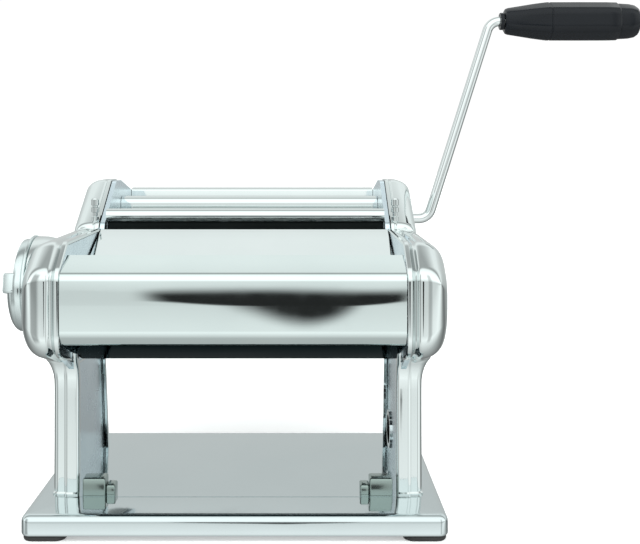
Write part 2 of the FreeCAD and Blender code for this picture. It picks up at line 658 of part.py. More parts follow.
def make_knob():
    ring = new_body("seat")
    ring_face = f"-{KNOB_SEAT}"
    round_step(ring, ring_face, "seat_ring", "seat_radius")
    round_step(ring, ring_face, "seat_ring", "spindle + running", cutting=True)
    hole = round_step(ring, ring_face, "seat_ring", "detent_hole", True, "detent_circle", "0")
    repeat_round(ring, hole, "detents")
    track = empty_sketch(ring, "YZ_Plane", ring_face)
    for index, radius in enumerate(("detent_circle - detent_hole", "detent_circle + detent_hole")):
        track.addGeometry(Part.Circle(Vector(0, 0, 0), Vector(0, 0, 1), number(radius)), False)
        track.addConstraint(Sketcher.Constraint("Coincident", index, 3, -1, 1))
        rule = track.addConstraint(Sketcher.Constraint("Radius", index, number(radius)))
        track.setExpression(f"Constraints[{rule}]", formula(radius))
    pad_sketch(ring, track, "detent_track", cutting=True)
    node("knob_seat_ring", ring, y="knob_y", z="knob_z")

    knob = new_body("knob_body")
    disc_face = f"-({KNOB_SEAT} + knob_disc)"
    disc = round_step(knob, disc_face, "knob_disc", "knob_radius")
    limit = number(disc_face) + 0.01
    round_edges(knob, disc, lambda box: box.XMax < limit, "1.5")
    half = "knob_bar_width / 2"
    reach = "sqrt(knob_radius * knob_radius - knob_bar_width * knob_bar_width / 4) - 0.6"
    grip = pad_outline(knob, "YZ_Plane", f"-{KNOB_FACE}", "knob_bar + 2",
                       rectangle(f"-({reach})", f"-({half})", reach, half, "2"))
    outer = number(f"-{KNOB_FACE}") + 0.01
    round_edges(knob, grip, lambda box: box.XMax < outer, "1.2")
    round_step(knob, f"-{KNOB_SEAT} - knob_disc + 1", "knob_disc - 1", "spindle + running", cutting=True)
    round_step(knob, f"-{KNOB_FACE}", "3.4", "3.2", cutting=True)
    round_step(knob, f"-{KNOB_FACE}", "9", "1.4", cutting=True)
    round_step(knob, f"-{KNOB_SEAT}", "detent_track - running", "detent_hole - 4 * running", False,
               "detent_circle", "0")
    node("regulator_knob", knob, y="knob_y", z="knob_z")

    screw = new_body("knob_fixing")
    round_step(screw, f"-{KNOB_FACE} + 1", "2.2", "3")
    round_step(screw, f"-{KNOB_FACE} + 1", "7", "1.2")
    node("knob_screw", screw, y="knob_y", z="knob_z")


# ---------------------------------------------------------------- cutting head

def cutter_outline(inset):
    """Profile (Y, Z) of the cutting head's side, drawn in by an inset."""
    return [(f"cutter_front + {inset}", f"cutter_low + 4 + {inset}", "6"),
            (f"cutter_front + {inset}", f"cutter_peak - 23.5 - 0.6 * {inset}", "5"),
            (f"cutter_front + 38 + 0.4 * {inset}", f"cutter_peak - {inset}", "8"),
            (f"cutter_front + 54", f"cutter_peak - {inset}", "9"),
            (f"cutter_rear - {inset}", f"cutter_peak - 9.5 - {inset}", "8"),
            (f"cutter_rear - {inset}", f"cutter_low + 14", "9"),
            (f"cutter_rear - 14", f"cutter_low + {inset}", "9"),
            (f"cutter_front + 8", f"cutter_low + {inset}", "6")]


def make_cutter_sides():
    cap = new_body("cap_outside")
    pad = pad_outline(cap, "YZ_Plane", "cutter_inner", "cutter_reach - cutter_inner", cutter_outline("0"))
    face = number("cutter_reach")
    round_edges(cap, pad, lambda box: box.XMin > face - 0.01, "cutter_round")
    hollow = new_body("cap_inside")
    pad_outline(hollow, "YZ_Plane", "cutter_inner", "cutter_reach - cutter_inner - cutter_round",
                cutter_outline("cover_wall"))
    deep = new_body("cap_deep")
    deep_pad = pad_outline(deep, "YZ_Plane", "cutter_inner + 3",
                           "cutter_reach - cutter_inner - 3 - cover_wall", cutter_outline("cover_wall"))
    inner_face = number("cutter_reach - cover_wall")
    round_edges(deep, deep_pad, lambda box: box.XMin > inner_face - 0.01, "cutter_round - cover_wall")
    notch = block("cutter_inner - 1", "cutter_front - 2", "cutter_low - 1", "rail_width + 6",
                  "rail_y - cutter_front + rail_pin + 5", "cutter_peak - 30 - cutter_low")
    shell = cut("cap_shell", cap, [hollow, deep, notch])
    socket = bar("cutter_inner", f"wide_y + {PAIR_SPREAD}", "wide_z", "cutter_journal + 0.6", "40")
    crank_hole = bar("cutter_inner", f"narrow_y - {PAIR_SPREAD}", "narrow_z", "cutter_journal + 0.6", "40")
    node("right_cutter_cap", cut("right_cap", shell, [socket, crank_hole]))
    node("left_cutter_cap", mirrored(shell))

    plate = new_body("cutter_plate")
    pad_outline(plate, "YZ_Plane", CUTTER_PLATE_X, "plate", cutter_outline("cover_wall + lap"))
    for y, z in BUSH_PLACES:
        round_step(plate, CUTTER_PLATE_X, "plate", "cutter_journal + bush_wall + running",
                   True, y, z)
    node("right_cutter_frame", plate)
    opposite_node("left_cutter_frame", plate)


def make_cutter_bushes():
    level = CUTTER_PLATE_X
    bushes = []
    for y, z in BUSH_PLACES:
        outer = bar(level, y, z, "cutter_journal + bush_wall", "plate")
        bore = bar("leg_inner - 4", y, z, "cutter_journal + running", "30")
        bush = cut("cutter_bush", outer, [bore])
        bushes.extend([bush, mirrored(bush)])
    node("cutter_bushes", group("cutter_bush_set", bushes))


def cutting_roller(label, y, z, pitch, gap, first, length_right):
    """A shaft with evenly spaced cutting discs, for a pair whose discs run between each other."""
    body = new_body(label + "_shaft")
    round_step(body, "-cut_width / 2 - 0.5", "cut_width + 1", CORE_RADIUS)
    left = "cutter_gear_place + cutter_gear_width"
    round_step(body, f"-({left})", f"{left} + {length_right}", "cutter_journal")
    disc = round_step(body, f"-cut_width / 2 + {pitch} * {first}", f"{pitch} / 2 - {gap}", "disc_radius")
    repeat_along(body, disc, pitch, f"floor((cut_width - {pitch} * {first}) / {pitch} + 0.45)")
    return body


def make_cutting_rollers():
    for kind, y, z, pitch, gap in (("wide", "wide_y", "wide_z", "wide_pitch", "disc_gap"),
                                   ("narrow", "narrow_y", "narrow_z", "narrow_pitch", "narrow_gap")):
        front_y = f"{y} - {PAIR_SPREAD}"
        rear_y = f"{y} + {PAIR_SPREAD}"
        driven_y, idle_y = (rear_y, front_y) if kind == "wide" else (front_y, rear_y)
        driven = cutting_roller(f"{kind}_driven", driven_y, z, pitch, gap, "0", "socket_mouth")
        cut_crank_socket(driven, "socket_mouth")
        node(f"{kind}_cutting_roller_driven", driven, y=driven_y, z=z)
        idle = cutting_roller(f"{kind}_idle", idle_y, z, pitch, gap, "0.5", f"{HALF_INSIDE} + 3")
        node(f"{kind}_cutting_roller_idle", idle, y=idle_y, z=z)
        level = "-cutter_gear_place - cutter_gear_width"
        half_tooth = 15 if kind == "wide" else 0
        for share, gear_y, phase in (("driven", driven_y, half_tooth), ("idle", idle_y, 15 - half_tooth)):
            gear = gear_body(f"{kind}_{share}_wheel", level, "cutter_gear_width", "cutter_gear_reach",
                             "cutter_gear_root", "cutter_journal + running", "cutter_teeth", phase)
            node(f"{kind}_{share}_gear", gear, y=gear_y, z=z)
        combs = [make_comb(kind + "_driven", driven_y, z, pitch, gap, "0"),
                 make_comb(kind + "_idle", idle_y, z, pitch, gap, "0.5")]
        node(f"{kind}_combs", group(kind + "_comb_pair", combs))


def make_comb(name, y, z, pitch, gap, first):
    """A stripper bar below a cutting roller with one finger in each groove."""
    body = new_body(name + "_fingers")
    half = CUTTER_PLATE_X
    low = "-disc_radius - 5"
    bar_top = "-disc_radius - 1"
    across = "3"
    pad_outline(body, "YZ_Plane", f"-({half})", f"2 * ({half})",
                rectangle(f"-{across}", low, across, bar_top))
    start = f"-cut_width / 2 + {pitch} * {first} + {pitch} / 2 - {gap} + 0.35"
    finger = pad_outline(body, "YZ_Plane", start, f"{pitch} / 2 + {gap} - 0.7",
                         rectangle("-2", bar_top, "2", f"-{CORE_RADIUS} - 0.5"))
    repeat_along(body, finger, pitch, f"floor((cut_width - {pitch} * {first}) / {pitch} - 0.1)")
    bind(body, Base_y=y, Base_z=z)
    return body


def make_cutter_covers():
    half = CUTTER_COVER_HALF
    span = f"2 * {half}"
    bead = bar(f"-({half})", "bead_y", "bead_z", "bead_radius", span)
    bead_bore = bar(f"-({half}) - 1", "bead_y", "bead_z", "bead_radius - sheet", f"{span} + 2")
    wall = block(f"-({half})", "bead_y - bead_radius", "cutter_low + 12", span, "sheet",
                 "bead_z - cutter_low - 12")
    node("cutter_front_cover", joined("bead_sheet", [cut("bead_tube", bead, [bead_bore]), wall]))
    node("slot_divider", bent_sheet("divider_sheet", [
        ("ridge_y + 3.5", "ridge_z - 0.1", None), ("ridge_y + 2.5", "ridge_z + 3.7", "2"),
        ("divider_y", "ridge_z + 2.2", "4"), ("divider_y", "wide_z - 14", None)], half))
    node("cutter_rear_cover", bent_sheet("rear_bead_sheet", [
        ("cutter_rear - 2", "cutter_low + 16", None), ("cutter_rear - 2", "cutter_peak - 13", "3"),
        ("cutter_rear - 6.5", "cutter_peak - 7", "2"), ("cutter_rear - 12", "cutter_peak - 8.5", None)],
        half))
    rods = [bar(f"-({half})", y, z, "tie_radius - 0.5", span) for y, z in CUTTER_TIES]
    node("cutter_tie_rods", group("cutter_ties", rods))


def make_rails():
    """Two slotted rails on the frame and the four pins of the cutting head that drop into them."""
    rear = "rail_y + rail_pin + 3"
    plate = block(RAIL_X, "cover_rear - 12", RAIL_LOW, "rail_width", f"{rear} - cover_rear + 12",
                  f"{RAIL_HIGH} - {RAIL_LOW}")
    mouth = block(f"{RAIL_X} - 1", "rail_y - rail_pin - running", f"{RAIL_LOW} + 6",
                  "rail_width + 2", "2 * rail_pin + 2 * running", "60")
    rail = cut("rail", plate, [mouth])
    node("right_attachment_rail", rail)
    opposite_node("left_attachment_rail", rail)
    pins = []
    for height in ("8.1", "16"):
        pin = bar(f"{HALF_INSIDE} + 1.2", "rail_y", f"{RAIL_LOW} + {height}", "rail_pin", "plate + 3")
        pins.extend([pin, mirrored(pin)])
    node("cutter_hook_pins", group("hook_pins", pins))


# ---------------------------------------------------------------- crank

def make_crank():
    rod = new_body("crank_wire")
    start = "(socket_mouth - socket_depth + 2)"
    spine = empty_sketch(rod, "XZ_Plane")
    draw_outline(spine, [(start, "0", None), ("crank_bend", "0", "crank_round"),
                         ("crank_top", "crank_throw", "crank_round"),
                         (f"{GRIP_END} - 3", "crank_throw", None)], closed=False)
    section = empty_sketch(rod, "YZ_Plane", start)
    section.addGeometry(Part.Circle(Vector(0, 0, 0), Vector(0, 0, 1), number("rod_radius")), False)
    section.addConstraint(Sketcher.Constraint("Coincident", 0, 3, -1, 1))
    rule = section.addConstraint(Sketcher.Constraint("Radius", 0, number("rod_radius")))
    section.setExpression(f"Constraints[{rule}]", formula("rod_radius"))
    pipe = rod.newObject("PartDesign::AdditivePipe", "crank_pipe")
    pipe.Profile = section
    pipe.Spine = spine
    key_reach = "cutter_journal - 0.3"
    pad_outline(rod, "YZ_Plane", "socket_mouth - key_depth + 0.5", "key_depth - 0.5",
                rectangle("-key_half", f"-({key_reach})", "key_half", key_reach))
    node("crank_rod", rod, y=CRANK_Y, z="narrow_z")

    collar = new_body("collar_ring")
    round_step(collar, "grip_start - 2.6", "2.2", "rod_radius + 2.2")
    round_step(collar, "grip_start - 2.6", "2.2", "rod_radius + running", cutting=True)
    node("crank_collar", collar, y=CRANK_Y, z=CRANK_TOP_Z)

    grip = new_body("grip_turning")
    sketch = empty_sketch(grip, "XY_Plane")
    bore = "rod_radius + running"
    draw_outline(sketch, [
        ("grip_start", bore, None), ("grip_start", "grip_neck", "1.5"),
        ("grip_start + grip_taper", "grip_radius", "12"), (f"{GRIP_END} - grip_tail", "grip_radius", "6"),
        (f"{GRIP_END}", "grip_radius - 2.6", "5"), (f"{GRIP_END}", "6", None),
        (f"{GRIP_END} - 4", "6", None), (f"{GRIP_END} - 4", bore, None)])
    turning = grip.newObject("PartDesign::Revolution", "grip_revolution")
    turning.Profile = sketch
    turning.ReferenceAxis = (origin_item(grip, "X_Axis"), [""])
    turning.Angle = 360
    node("crank_grip", grip, y=CRANK_Y, z=CRANK_TOP_Z)
    cap = new_body("grip_end")
    round_step(cap, f"{GRIP_END} - 3", "2.2", "5.2")
    node("grip_rivet", cap, y=CRANK_Y, z=CRANK_TOP_Z)


def check_and_export():
    """Recompute, refuse any failed object or bad shape, then write every piece."""
    document.recompute()
    for thing in document.Objects:
        if "Invalid" in thing.State or "Error" in thing.State:
            raise RuntimeError(f"{thing.Label} failed: {thing.State}")
    for thing in nodes:
        shape = thing.Shape
        if shape.isNull() or not shape.isValid() or not shape.Solids:
            raise RuntimeError(f"{thing.Label} has no sound shape")
    for thing in nodes:
        thing.Shape.exportStep(os.path.join("parts", thing.Label + ".step"))
    print(len(nodes), "pieces written")


make_base()
make_foot_fasteners()
make_side_covers()
make_side_frames()
make_sheet_covers()
make_smooth_rollers()
make_bearing_blocks()
make_regulator()
make_cutter_sides()
make_cutter_bushes()
make_cutting_rollers()
make_cutter_covers()
make_rails()
make_crank()
check_and_export()
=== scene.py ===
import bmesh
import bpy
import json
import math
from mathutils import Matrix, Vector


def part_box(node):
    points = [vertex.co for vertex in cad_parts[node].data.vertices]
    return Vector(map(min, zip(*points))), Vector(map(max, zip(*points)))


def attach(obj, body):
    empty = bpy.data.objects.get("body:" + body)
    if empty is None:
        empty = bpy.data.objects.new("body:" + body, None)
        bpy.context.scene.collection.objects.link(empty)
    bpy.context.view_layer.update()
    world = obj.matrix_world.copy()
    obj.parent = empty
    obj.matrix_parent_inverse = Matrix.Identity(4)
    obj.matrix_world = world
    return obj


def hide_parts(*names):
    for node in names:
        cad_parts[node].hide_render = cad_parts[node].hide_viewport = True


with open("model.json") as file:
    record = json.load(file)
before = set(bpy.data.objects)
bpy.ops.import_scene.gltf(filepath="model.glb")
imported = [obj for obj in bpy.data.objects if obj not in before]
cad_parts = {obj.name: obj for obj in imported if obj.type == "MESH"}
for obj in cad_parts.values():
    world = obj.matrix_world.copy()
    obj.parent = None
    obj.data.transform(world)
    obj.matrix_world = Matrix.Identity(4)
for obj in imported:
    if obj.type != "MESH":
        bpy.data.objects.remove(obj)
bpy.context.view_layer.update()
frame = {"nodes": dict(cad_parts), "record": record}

# %% [markdown]
# A hand-cranked pasta machine: a pressed tray for a base, two leg frames with bulging plated
# covers, a folded front cover over smooth rollers, a lift-off cutting head and a bent crank.
# Places could be typed in metres one by one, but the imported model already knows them. A small
# ruler turns the machine's own millimetres (X from the middle plane, Y from the front edge of
# the base, Z from the table) into metres, so every later number can be read off a drawing.

MM = 0.001
tray_low, tray_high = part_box("base_plate")
MIDDLE = (tray_low.x + tray_high.x) / 2
FRONT = tray_low.y


def at(x, y, z):
    """A point given in the machine's own millimetres."""
    return Vector((MIDDLE + x * MM, FRONT + y * MM, z * MM))


def span(node):
    """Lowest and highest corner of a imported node, in the machine's own millimetres."""
    low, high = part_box(node)
    shift = Vector((MIDDLE, FRONT, 0))
    return (low - shift) / MM, (high - shift) / MM


HALF_BASE = (tray_high.x - tray_low.x) / 2 / MM
BASE_DEPTH = (tray_high.y - tray_low.y) / MM
BASE_TOP = tray_high.z / MM
print("base", round(HALF_BASE * 2, 1), "x", round(BASE_DEPTH, 1), "mm, top at", round(BASE_TOP, 1))

# %% [markdown]
# Pressed sheet metal is all outlines with rounded corners. A bevel could round them afterwards,
# but it fails where two bends run into each other. Here one helper turns a list of corners, each
# with its own radius, into points. Every corner gets the same number of points, so two outlines
# with the same corners can always be joined ring to ring.

# %% Rounded outlines
CORNER_STEPS = 8


def rounded(corners, closed=True, steps=CORNER_STEPS):
    """Points (a, b) along straight runs whose corners (a, b, radius) are arcs."""
    points = []
    count = len(corners)
    for place, (a, b, radius) in enumerate(corners):
        here = Vector((a, b))
        if not closed and place in (0, count - 1):
            points.append(here)
            continue
        back = Vector(corners[place - 1][:2]) - here
        ahead = Vector(corners[(place + 1) % count][:2]) - here
        half = max(back.angle(ahead) / 2, 0.01)
        reach = min(radius / math.tan(half), 0.49 * back.length, 0.49 * ahead.length)
        back.normalize()
        ahead.normalize()
        middle = here + (back + ahead).normalized() * (reach / math.cos(half))
        start = here + back * reach - middle
        end = here + ahead * reach - middle
        turn = start.angle_signed(end) if reach > 0 else 0
        for step in range(steps + 1):
            angle = -turn * step / steps
            swung = Vector((start.x * math.cos(angle) - start.y * math.sin(angle),
                            start.x * math.sin(angle) + start.y * math.cos(angle)))
            points.append(middle + swung)
    return points


def inset_outline(corners, insets, radii):
    """The same outline with every side moved inwards by its own inset and new corner radii."""
    count = len(corners)
    lines = []
    for place in range(count):
        start = Vector(corners[place][:2])
        run = (Vector(corners[(place + 1) % count][:2]) - start).normalized()
        inward = Vector((run.y, -run.x))
        lines.append((start + inward * insets[place], run))
    moved = []
    for place in range(count):
        point, run = lines[place]
        other, other_run = lines[place - 1]
        along = (other - point).cross(other_run) / run.cross(other_run)
        corner = point + run * along
        moved.append((corner.x, corner.y, radii[place]))
    return moved


# %% [markdown]
# Nearly every piece is a loft: rings of points joined into one closed skin. The same helper makes
# a dome, a bent sheet or a turned pin, and always merges doubles and turns the faces outwards.

# %% Lofts and turned shapes
def build(name, rings, loop=False):
    """Join equal rings of points into one closed skin: capped, or its ends joined to each other."""
    mesh = bpy.data.meshes.new(name)
    shape = bmesh.new()
    rows = [[shape.verts.new(point) for point in ring] for ring in rings]
    width = len(rows[0])
    for low, high in zip(rows, rows[1:] + rows[:1] if loop else rows[1:]):
        for i in range(width):
            j = (i + 1) % width
            shape.faces.new((low[i], low[j], high[j], high[i]))
    if not loop:
        shape.faces.new(rows[0][::-1])
        shape.faces.new(rows[-1])
    bmesh.ops.remove_doubles(shape, verts=shape.verts, dist=1e-7)
    bmesh.ops.recalc_face_normals(shape, faces=shape.faces)
    shape.to_mesh(mesh)
    shape.free()
    thing = bpy.data.objects.new(name, mesh)
    bpy.context.scene.collection.objects.link(thing)
    return thing


def smooth(thing, angle=32):
    """Smooth shading, with edges sharper than the angle kept crisp."""
    thing.data.shade_smooth()
    thing.data.set_sharp_from_angle(angle=math.radians(angle))


def turned(name, profile, y=0, z=0, steps=64, loop=False, side=1):
    """Spin a profile of (x, radius) about a line along X through (y, z)."""
    rings = []
    for x, radius in profile:
        turns = (2 * math.pi * step / steps for step in range(steps))
        rings.append([at(side * x, y + radius * math.cos(t), z + radius * math.sin(t)) for t in turns])
    return build(name, rings, loop)


print("corner steps", CORNER_STEPS)

# %% [markdown]
# A few pieces are several shapes kept together, and some have holes. Joining and cutting are
# done once, on finished meshes, so that no live modifier is left on a piece. One last helper
# gives a piece its finish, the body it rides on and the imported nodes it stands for.

# %% Joining, cutting and settling
def melt(name, things):
    """Several meshes kept as one piece."""
    shape = bmesh.new()
    for thing in things:
        shape.from_mesh(thing.data)
        old = thing.data
        bpy.data.objects.remove(thing)
        bpy.data.meshes.remove(old)
    mesh = bpy.data.meshes.new(name)
    shape.to_mesh(mesh)
    shape.free()
    piece = bpy.data.objects.new(name, mesh)
    bpy.context.scene.collection.objects.link(piece)
    return piece


def carve(piece, tools):
    """Cut other closed shapes out of a piece and use them up."""
    for tool in tools:
        cutter = piece.modifiers.new("opening", "BOOLEAN")
        cutter.object = tool
        cutter.solver = "EXACT"
    bpy.context.view_layer.update()
    settled_scene = bpy.context.evaluated_depsgraph_get()
    carved = bpy.data.meshes.new_from_object(piece.evaluated_get(settled_scene))
    piece.modifiers.clear()
    piece.data = carved
    for tool in tools:
        bpy.data.objects.remove(tool)


def settle(piece, body, slot, material, *nodes):
    """Give a piece its finish, its body and the nodes it stands for."""
    piece.data.materials.clear()
    piece.data.materials.append(material)
    smooth(piece)
    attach(piece, body)
    if nodes:
        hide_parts(*nodes)


# %% [markdown]
# Plated and machined metal is never perfectly clean. Each material could carry its own copy of
# the same noise, but then a change has to be made fifteen times. Three effects are shared
# instead, as node groups: slow waves left by the press, fine scratches along one direction, and
# smudges that change the roughness. They put out only masks and heights, and each material
# feeds them into its own bump and roughness.

# %% Node helpers
def new_group(name, inputs, outputs):
    """A shader node group with float sockets."""
    tree = bpy.data.node_groups.new(name, "ShaderNodeTree")
    for label, value in inputs.items():
        socket = tree.interface.new_socket(label, in_out="INPUT", socket_type="NodeSocketFloat")
        socket.default_value = value
    for label in outputs:
        tree.interface.new_socket(label, in_out="OUTPUT", socket_type="NodeSocketFloat")
    return tree, tree.nodes.new("NodeGroupInput"), tree.nodes.new("NodeGroupOutput")


def noise(tree, vector, scale, detail=2.0, roughness=0.5):
    node = tree.nodes.new("ShaderNodeTexNoise")
    node.inputs["Detail"].default_value = detail
    node.inputs["Roughness"].default_value = roughness
    tree.links.new(vector, node.inputs["Vector"])
    if isinstance(scale, (int, float)):
        node.inputs["Scale"].default_value = scale
    else:
        tree.links.new(scale, node.inputs["Scale"])
    return node.outputs["Fac"]


def calculate(tree, operation, first, second=0.5):
    node = tree.nodes.new("ShaderNodeMath")
    node.operation = operation
    for socket, value in zip(node.inputs, (first, second)):
        if isinstance(value, (int, float)):
            socket.default_value = value
        else:
            tree.links.new(value, socket)
    return node.outputs[0]


def stretched(tree, stretch):
    """Object coordinates, stretched so that noise becomes streaks."""
    coordinates = tree.nodes.new("ShaderNodeTexCoord")
    mapping = tree.nodes.new("ShaderNodeMapping")
    mapping.inputs["Scale"].default_value = stretch
    tree.links.new(coordinates.outputs["Object"], mapping.inputs["Vector"])
    return mapping.outputs["Vector"]


# %% Shared surface effects
def make_wave_group():
    """Slow unevenness of pressed sheet: a height."""
    tree, given, result = new_group("press_waves", {"Size": 18.0}, ["Height"])
    vector = stretched(tree, (1, 1, 1))
    tree.links.new(noise(tree, vector, given.outputs["Size"], 1.0), result.inputs["Height"])
    return tree


def make_scratch_group(name, stretch):
    """Hair-fine scratches in one direction: a height and a mask."""
    tree, given, result = new_group(name, {"Density": 900.0, "Amount": 0.5}, ["Height", "Mask"])
    vector = stretched(tree, stretch)
    streaks = noise(tree, vector, given.outputs["Density"], 3.0, 0.7)
    sharp = calculate(tree, "POWER", streaks, 4.0)
    strength = calculate(tree, "MULTIPLY", sharp, given.outputs["Amount"])
    tree.links.new(strength, result.inputs["Height"])
    mask = calculate(tree, "MULTIPLY", streaks, given.outputs["Amount"])
    tree.links.new(mask, result.inputs["Mask"])
    return tree


def make_smudge_group():
    """Finger marks and dull patches: a roughness to use directly."""
    tree, given, result = new_group("smudges", {"Low": 0.05, "High": 0.12, "Size": 40.0}, ["Roughness"])
    vector = stretched(tree, (1, 1, 1))
    patches = noise(tree, vector, given.outputs["Size"], 4.0, 0.6)
    ramp = tree.nodes.new("ShaderNodeMapRange")
    ramp.inputs["From Min"].default_value = 0.38
    ramp.inputs["From Max"].default_value = 0.68
    tree.links.new(patches, ramp.inputs["Value"])
    tree.links.new(given.outputs["Low"], ramp.inputs["To Min"])
    tree.links.new(given.outputs["High"], ramp.inputs["To Max"])
    tree.links.new(ramp.outputs["Result"], result.inputs["Roughness"])
    return tree


WAVES = make_wave_group()
SCRATCHES_ALONG_X = make_scratch_group("scratches_along_x", (0.03, 1, 1))
SCRATCHES_ALONG_Y = make_scratch_group("scratches_along_y", (1, 0.03, 1))
SMUDGES = make_smudge_group()
print("effects", [tree.name for tree in (WAVES, SCRATCHES_ALONG_X, SCRATCHES_ALONG_Y, SMUDGES)])

# %% [markdown]
# Every metal here is the same recipe with other numbers: a metallic surface whose colour varies
# a little between two tints, whose roughness comes from the smudges, and whose normal comes from
# the slow waves and the scratches together. Plastics and rubber use the recipe without metal.
# One function makes them all, because only the numbers tell chrome from zinc or bronze.

# %% The recipe for a finish
def finish(name, light, dark, roughness, wave, scratch, metallic=1.0, grain=None, **sockets):
    """A material made from the shared effects; wave and scratch are bump distances in mm."""
    material = bpy.data.materials.new(name)
    material.use_nodes = True
    tree = material.node_tree
    shader = tree.nodes["Principled BSDF"]
    shader.inputs["Metallic"].default_value = metallic
    for label, value in sockets.items():
        shader.inputs[label.replace("_", " ")].default_value = value

    smudge = tree.nodes.new("ShaderNodeGroup")
    smudge.node_tree = SMUDGES
    smudge.inputs["Low"].default_value, smudge.inputs["High"].default_value = roughness
    tree.links.new(smudge.outputs["Roughness"], shader.inputs["Roughness"])

    tint = tree.nodes.new("ShaderNodeMix")
    tint.data_type = "RGBA"
    tint.inputs["A"].default_value = (*dark, 1)
    tint.inputs["B"].default_value = (*light, 1)
    tree.links.new(noise(tree, stretched(tree, (1, 1, 1)), 25.0, 3.0), tint.inputs["Factor"])
    tree.links.new(tint.outputs["Result"], shader.inputs["Base Color"])

    waves = tree.nodes.new("ShaderNodeGroup")
    waves.node_tree = WAVES
    lines = tree.nodes.new("ShaderNodeGroup")
    lines.node_tree = grain or SCRATCHES_ALONG_X
    slow = tree.nodes.new("ShaderNodeBump")
    slow.inputs["Distance"].default_value = wave * MM
    tree.links.new(waves.outputs["Height"], slow.inputs["Height"])
    fine = tree.nodes.new("ShaderNodeBump")
    fine.inputs["Distance"].default_value = scratch * MM
    tree.links.new(lines.outputs["Height"], fine.inputs["Height"])
    tree.links.new(slow.outputs["Normal"], fine.inputs["Normal"])
    tree.links.new(fine.outputs["Normal"], shader.inputs["Normal"])
    return material


# %% [markdown]
# The machine shows mostly chrome plate, with bright zinc inside, ground rollers and a black
# grip. Chrome could be one white mirror, but the tray is brushed a little duller than the
# covers, so it gets its own tints, and the downward faces under the front cover get a nearly
# black painted shade. The colours are names for finishes, one for each slot of the imported model.

# %% Finishes
chrome = finish("chrome_plate", (0.70, 0.745, 0.74), (0.64, 0.69, 0.69), (0.035, 0.075), 0.10, 0.002)
cover_chrome = finish("cover_chrome", (0.68, 0.745, 0.735), (0.62, 0.69, 0.685), (0.03, 0.07), 0.22, 0.002)
# painted shade: near-black with a teal specular tint, for the downward faces under the front cover
under_plate = finish("under_plate", (0.03, 0.045, 0.05), (0.028, 0.042, 0.047), (0.03, 0.07), 0.22, 0.002,
                     Specular_Tint=(0.1, 0.14, 0.15, 1))
shadow_plate = finish("shadow_plate", (0.02, 0.025, 0.025), (0.012, 0.015, 0.015), (0.3, 0.5), 0.05, 0.01)
tray_chrome = finish("tray_chrome", (0.60, 0.655, 0.665), (0.55, 0.61, 0.62), (0.05, 0.11), 0.05, 0.004)
zinc = finish("bright_zinc", (0.70, 0.80, 0.85), (0.62, 0.73, 0.79), (0.2, 0.32), 0.05, 0.01,
              grain=SCRATCHES_ALONG_Y)
ground_steel = finish("ground_roller", (0.66, 0.67, 0.68), (0.58, 0.59, 0.6), (0.14, 0.22), 0.01, 0.01)
cutter_steel = finish("cutting_steel", (0.58, 0.59, 0.6), (0.48, 0.49, 0.5), (0.2, 0.32), 0.01, 0.01)
oiled_steel = finish("oiled_gear_steel", (0.34, 0.34, 0.35), (0.2, 0.19, 0.18), (0.22, 0.42), 0.01, 0.02)
turned_steel = finish("turned_steel", (0.5, 0.51, 0.52), (0.42, 0.42, 0.43), (0.2, 0.3), 0.01, 0.02)
nickel = finish("nickel_fasteners", (0.68, 0.68, 0.66), (0.58, 0.58, 0.56), (0.12, 0.2), 0.01, 0.01)
spring_steel = finish("spring_steel", (0.5, 0.52, 0.54), (0.38, 0.4, 0.43), (0.2, 0.3), 0.02, 0.02)
bronze = finish("sintered_bronze", (0.58, 0.37, 0.17), (0.4, 0.24, 0.1), (0.32, 0.5), 0.01, 0.04)
bright_rod = finish("bright_rod", (0.72, 0.75, 0.75), (0.64, 0.68, 0.68), (0.05, 0.1), 0.02, 0.002)
knob_plate = finish("knob_plate", (0.64, 0.70, 0.70), (0.56, 0.63, 0.63), (0.1, 0.17), 0.03, 0.004)
dark_plate = finish("dark_plate", (0.30, 0.36, 0.34), (0.24, 0.3, 0.28), (0.1, 0.2), 0.05, 0.004)
black_grip = finish("black_grip", (0.004, 0.006, 0.009), (0.002, 0.003, 0.005), (0.2, 0.3), 0.03, 0.004,
                    metallic=0.0, Specular_IOR_Level=0.25)
rubber = finish("black_rubber", (0.022, 0.022, 0.022), (0.012, 0.012, 0.012), (0.6, 0.8), 0.04, 0.05,
                metallic=0.0)

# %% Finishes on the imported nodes
NODE_FINISH = {
    "chrome_sheet": chrome, "zinc_plate": zinc, "polished_roller": ground_steel,
    "cutting_steel": cutter_steel, "gear_steel": oiled_steel, "machined_steel": turned_steel,
    "bright_fasteners": nickel, "spring_steel": spring_steel, "bronze_bush": bronze,
    "bright_rod": bright_rod, "knob_metal": knob_plate, "black_grip": black_grip,
    "rubber_foot": rubber}
for part in frame["record"]["subparts"]:
    node = frame["nodes"][part["node"]]
    node.data.materials.clear()
    node.data.materials.append(NODE_FINISH[part["material_slot"]])
print(len(NODE_FINISH), "finishes on", len(frame["nodes"]), "nodes")

# %% [markdown]
# The base is one pressed tray with a rolled edge. A box with a bevel would do for the top, but
# not for the thin skirt and its rounded lip. So rounded rectangles, each with its own height and
# inset, are stacked into a skin: under the top, down the inside of the skirt, round its lip, up
# the outside and over the edge. A shallow groove across the top is the crease before the legs.

# %% Base tray
def rectangle(inset, radius):
    left, right = -HALF_BASE + inset, HALF_BASE - inset
    front, rear = inset, BASE_DEPTH - inset
    return rounded([(left, front, radius), (right, front, radius),
                    (right, rear, radius), (left, rear, radius)])


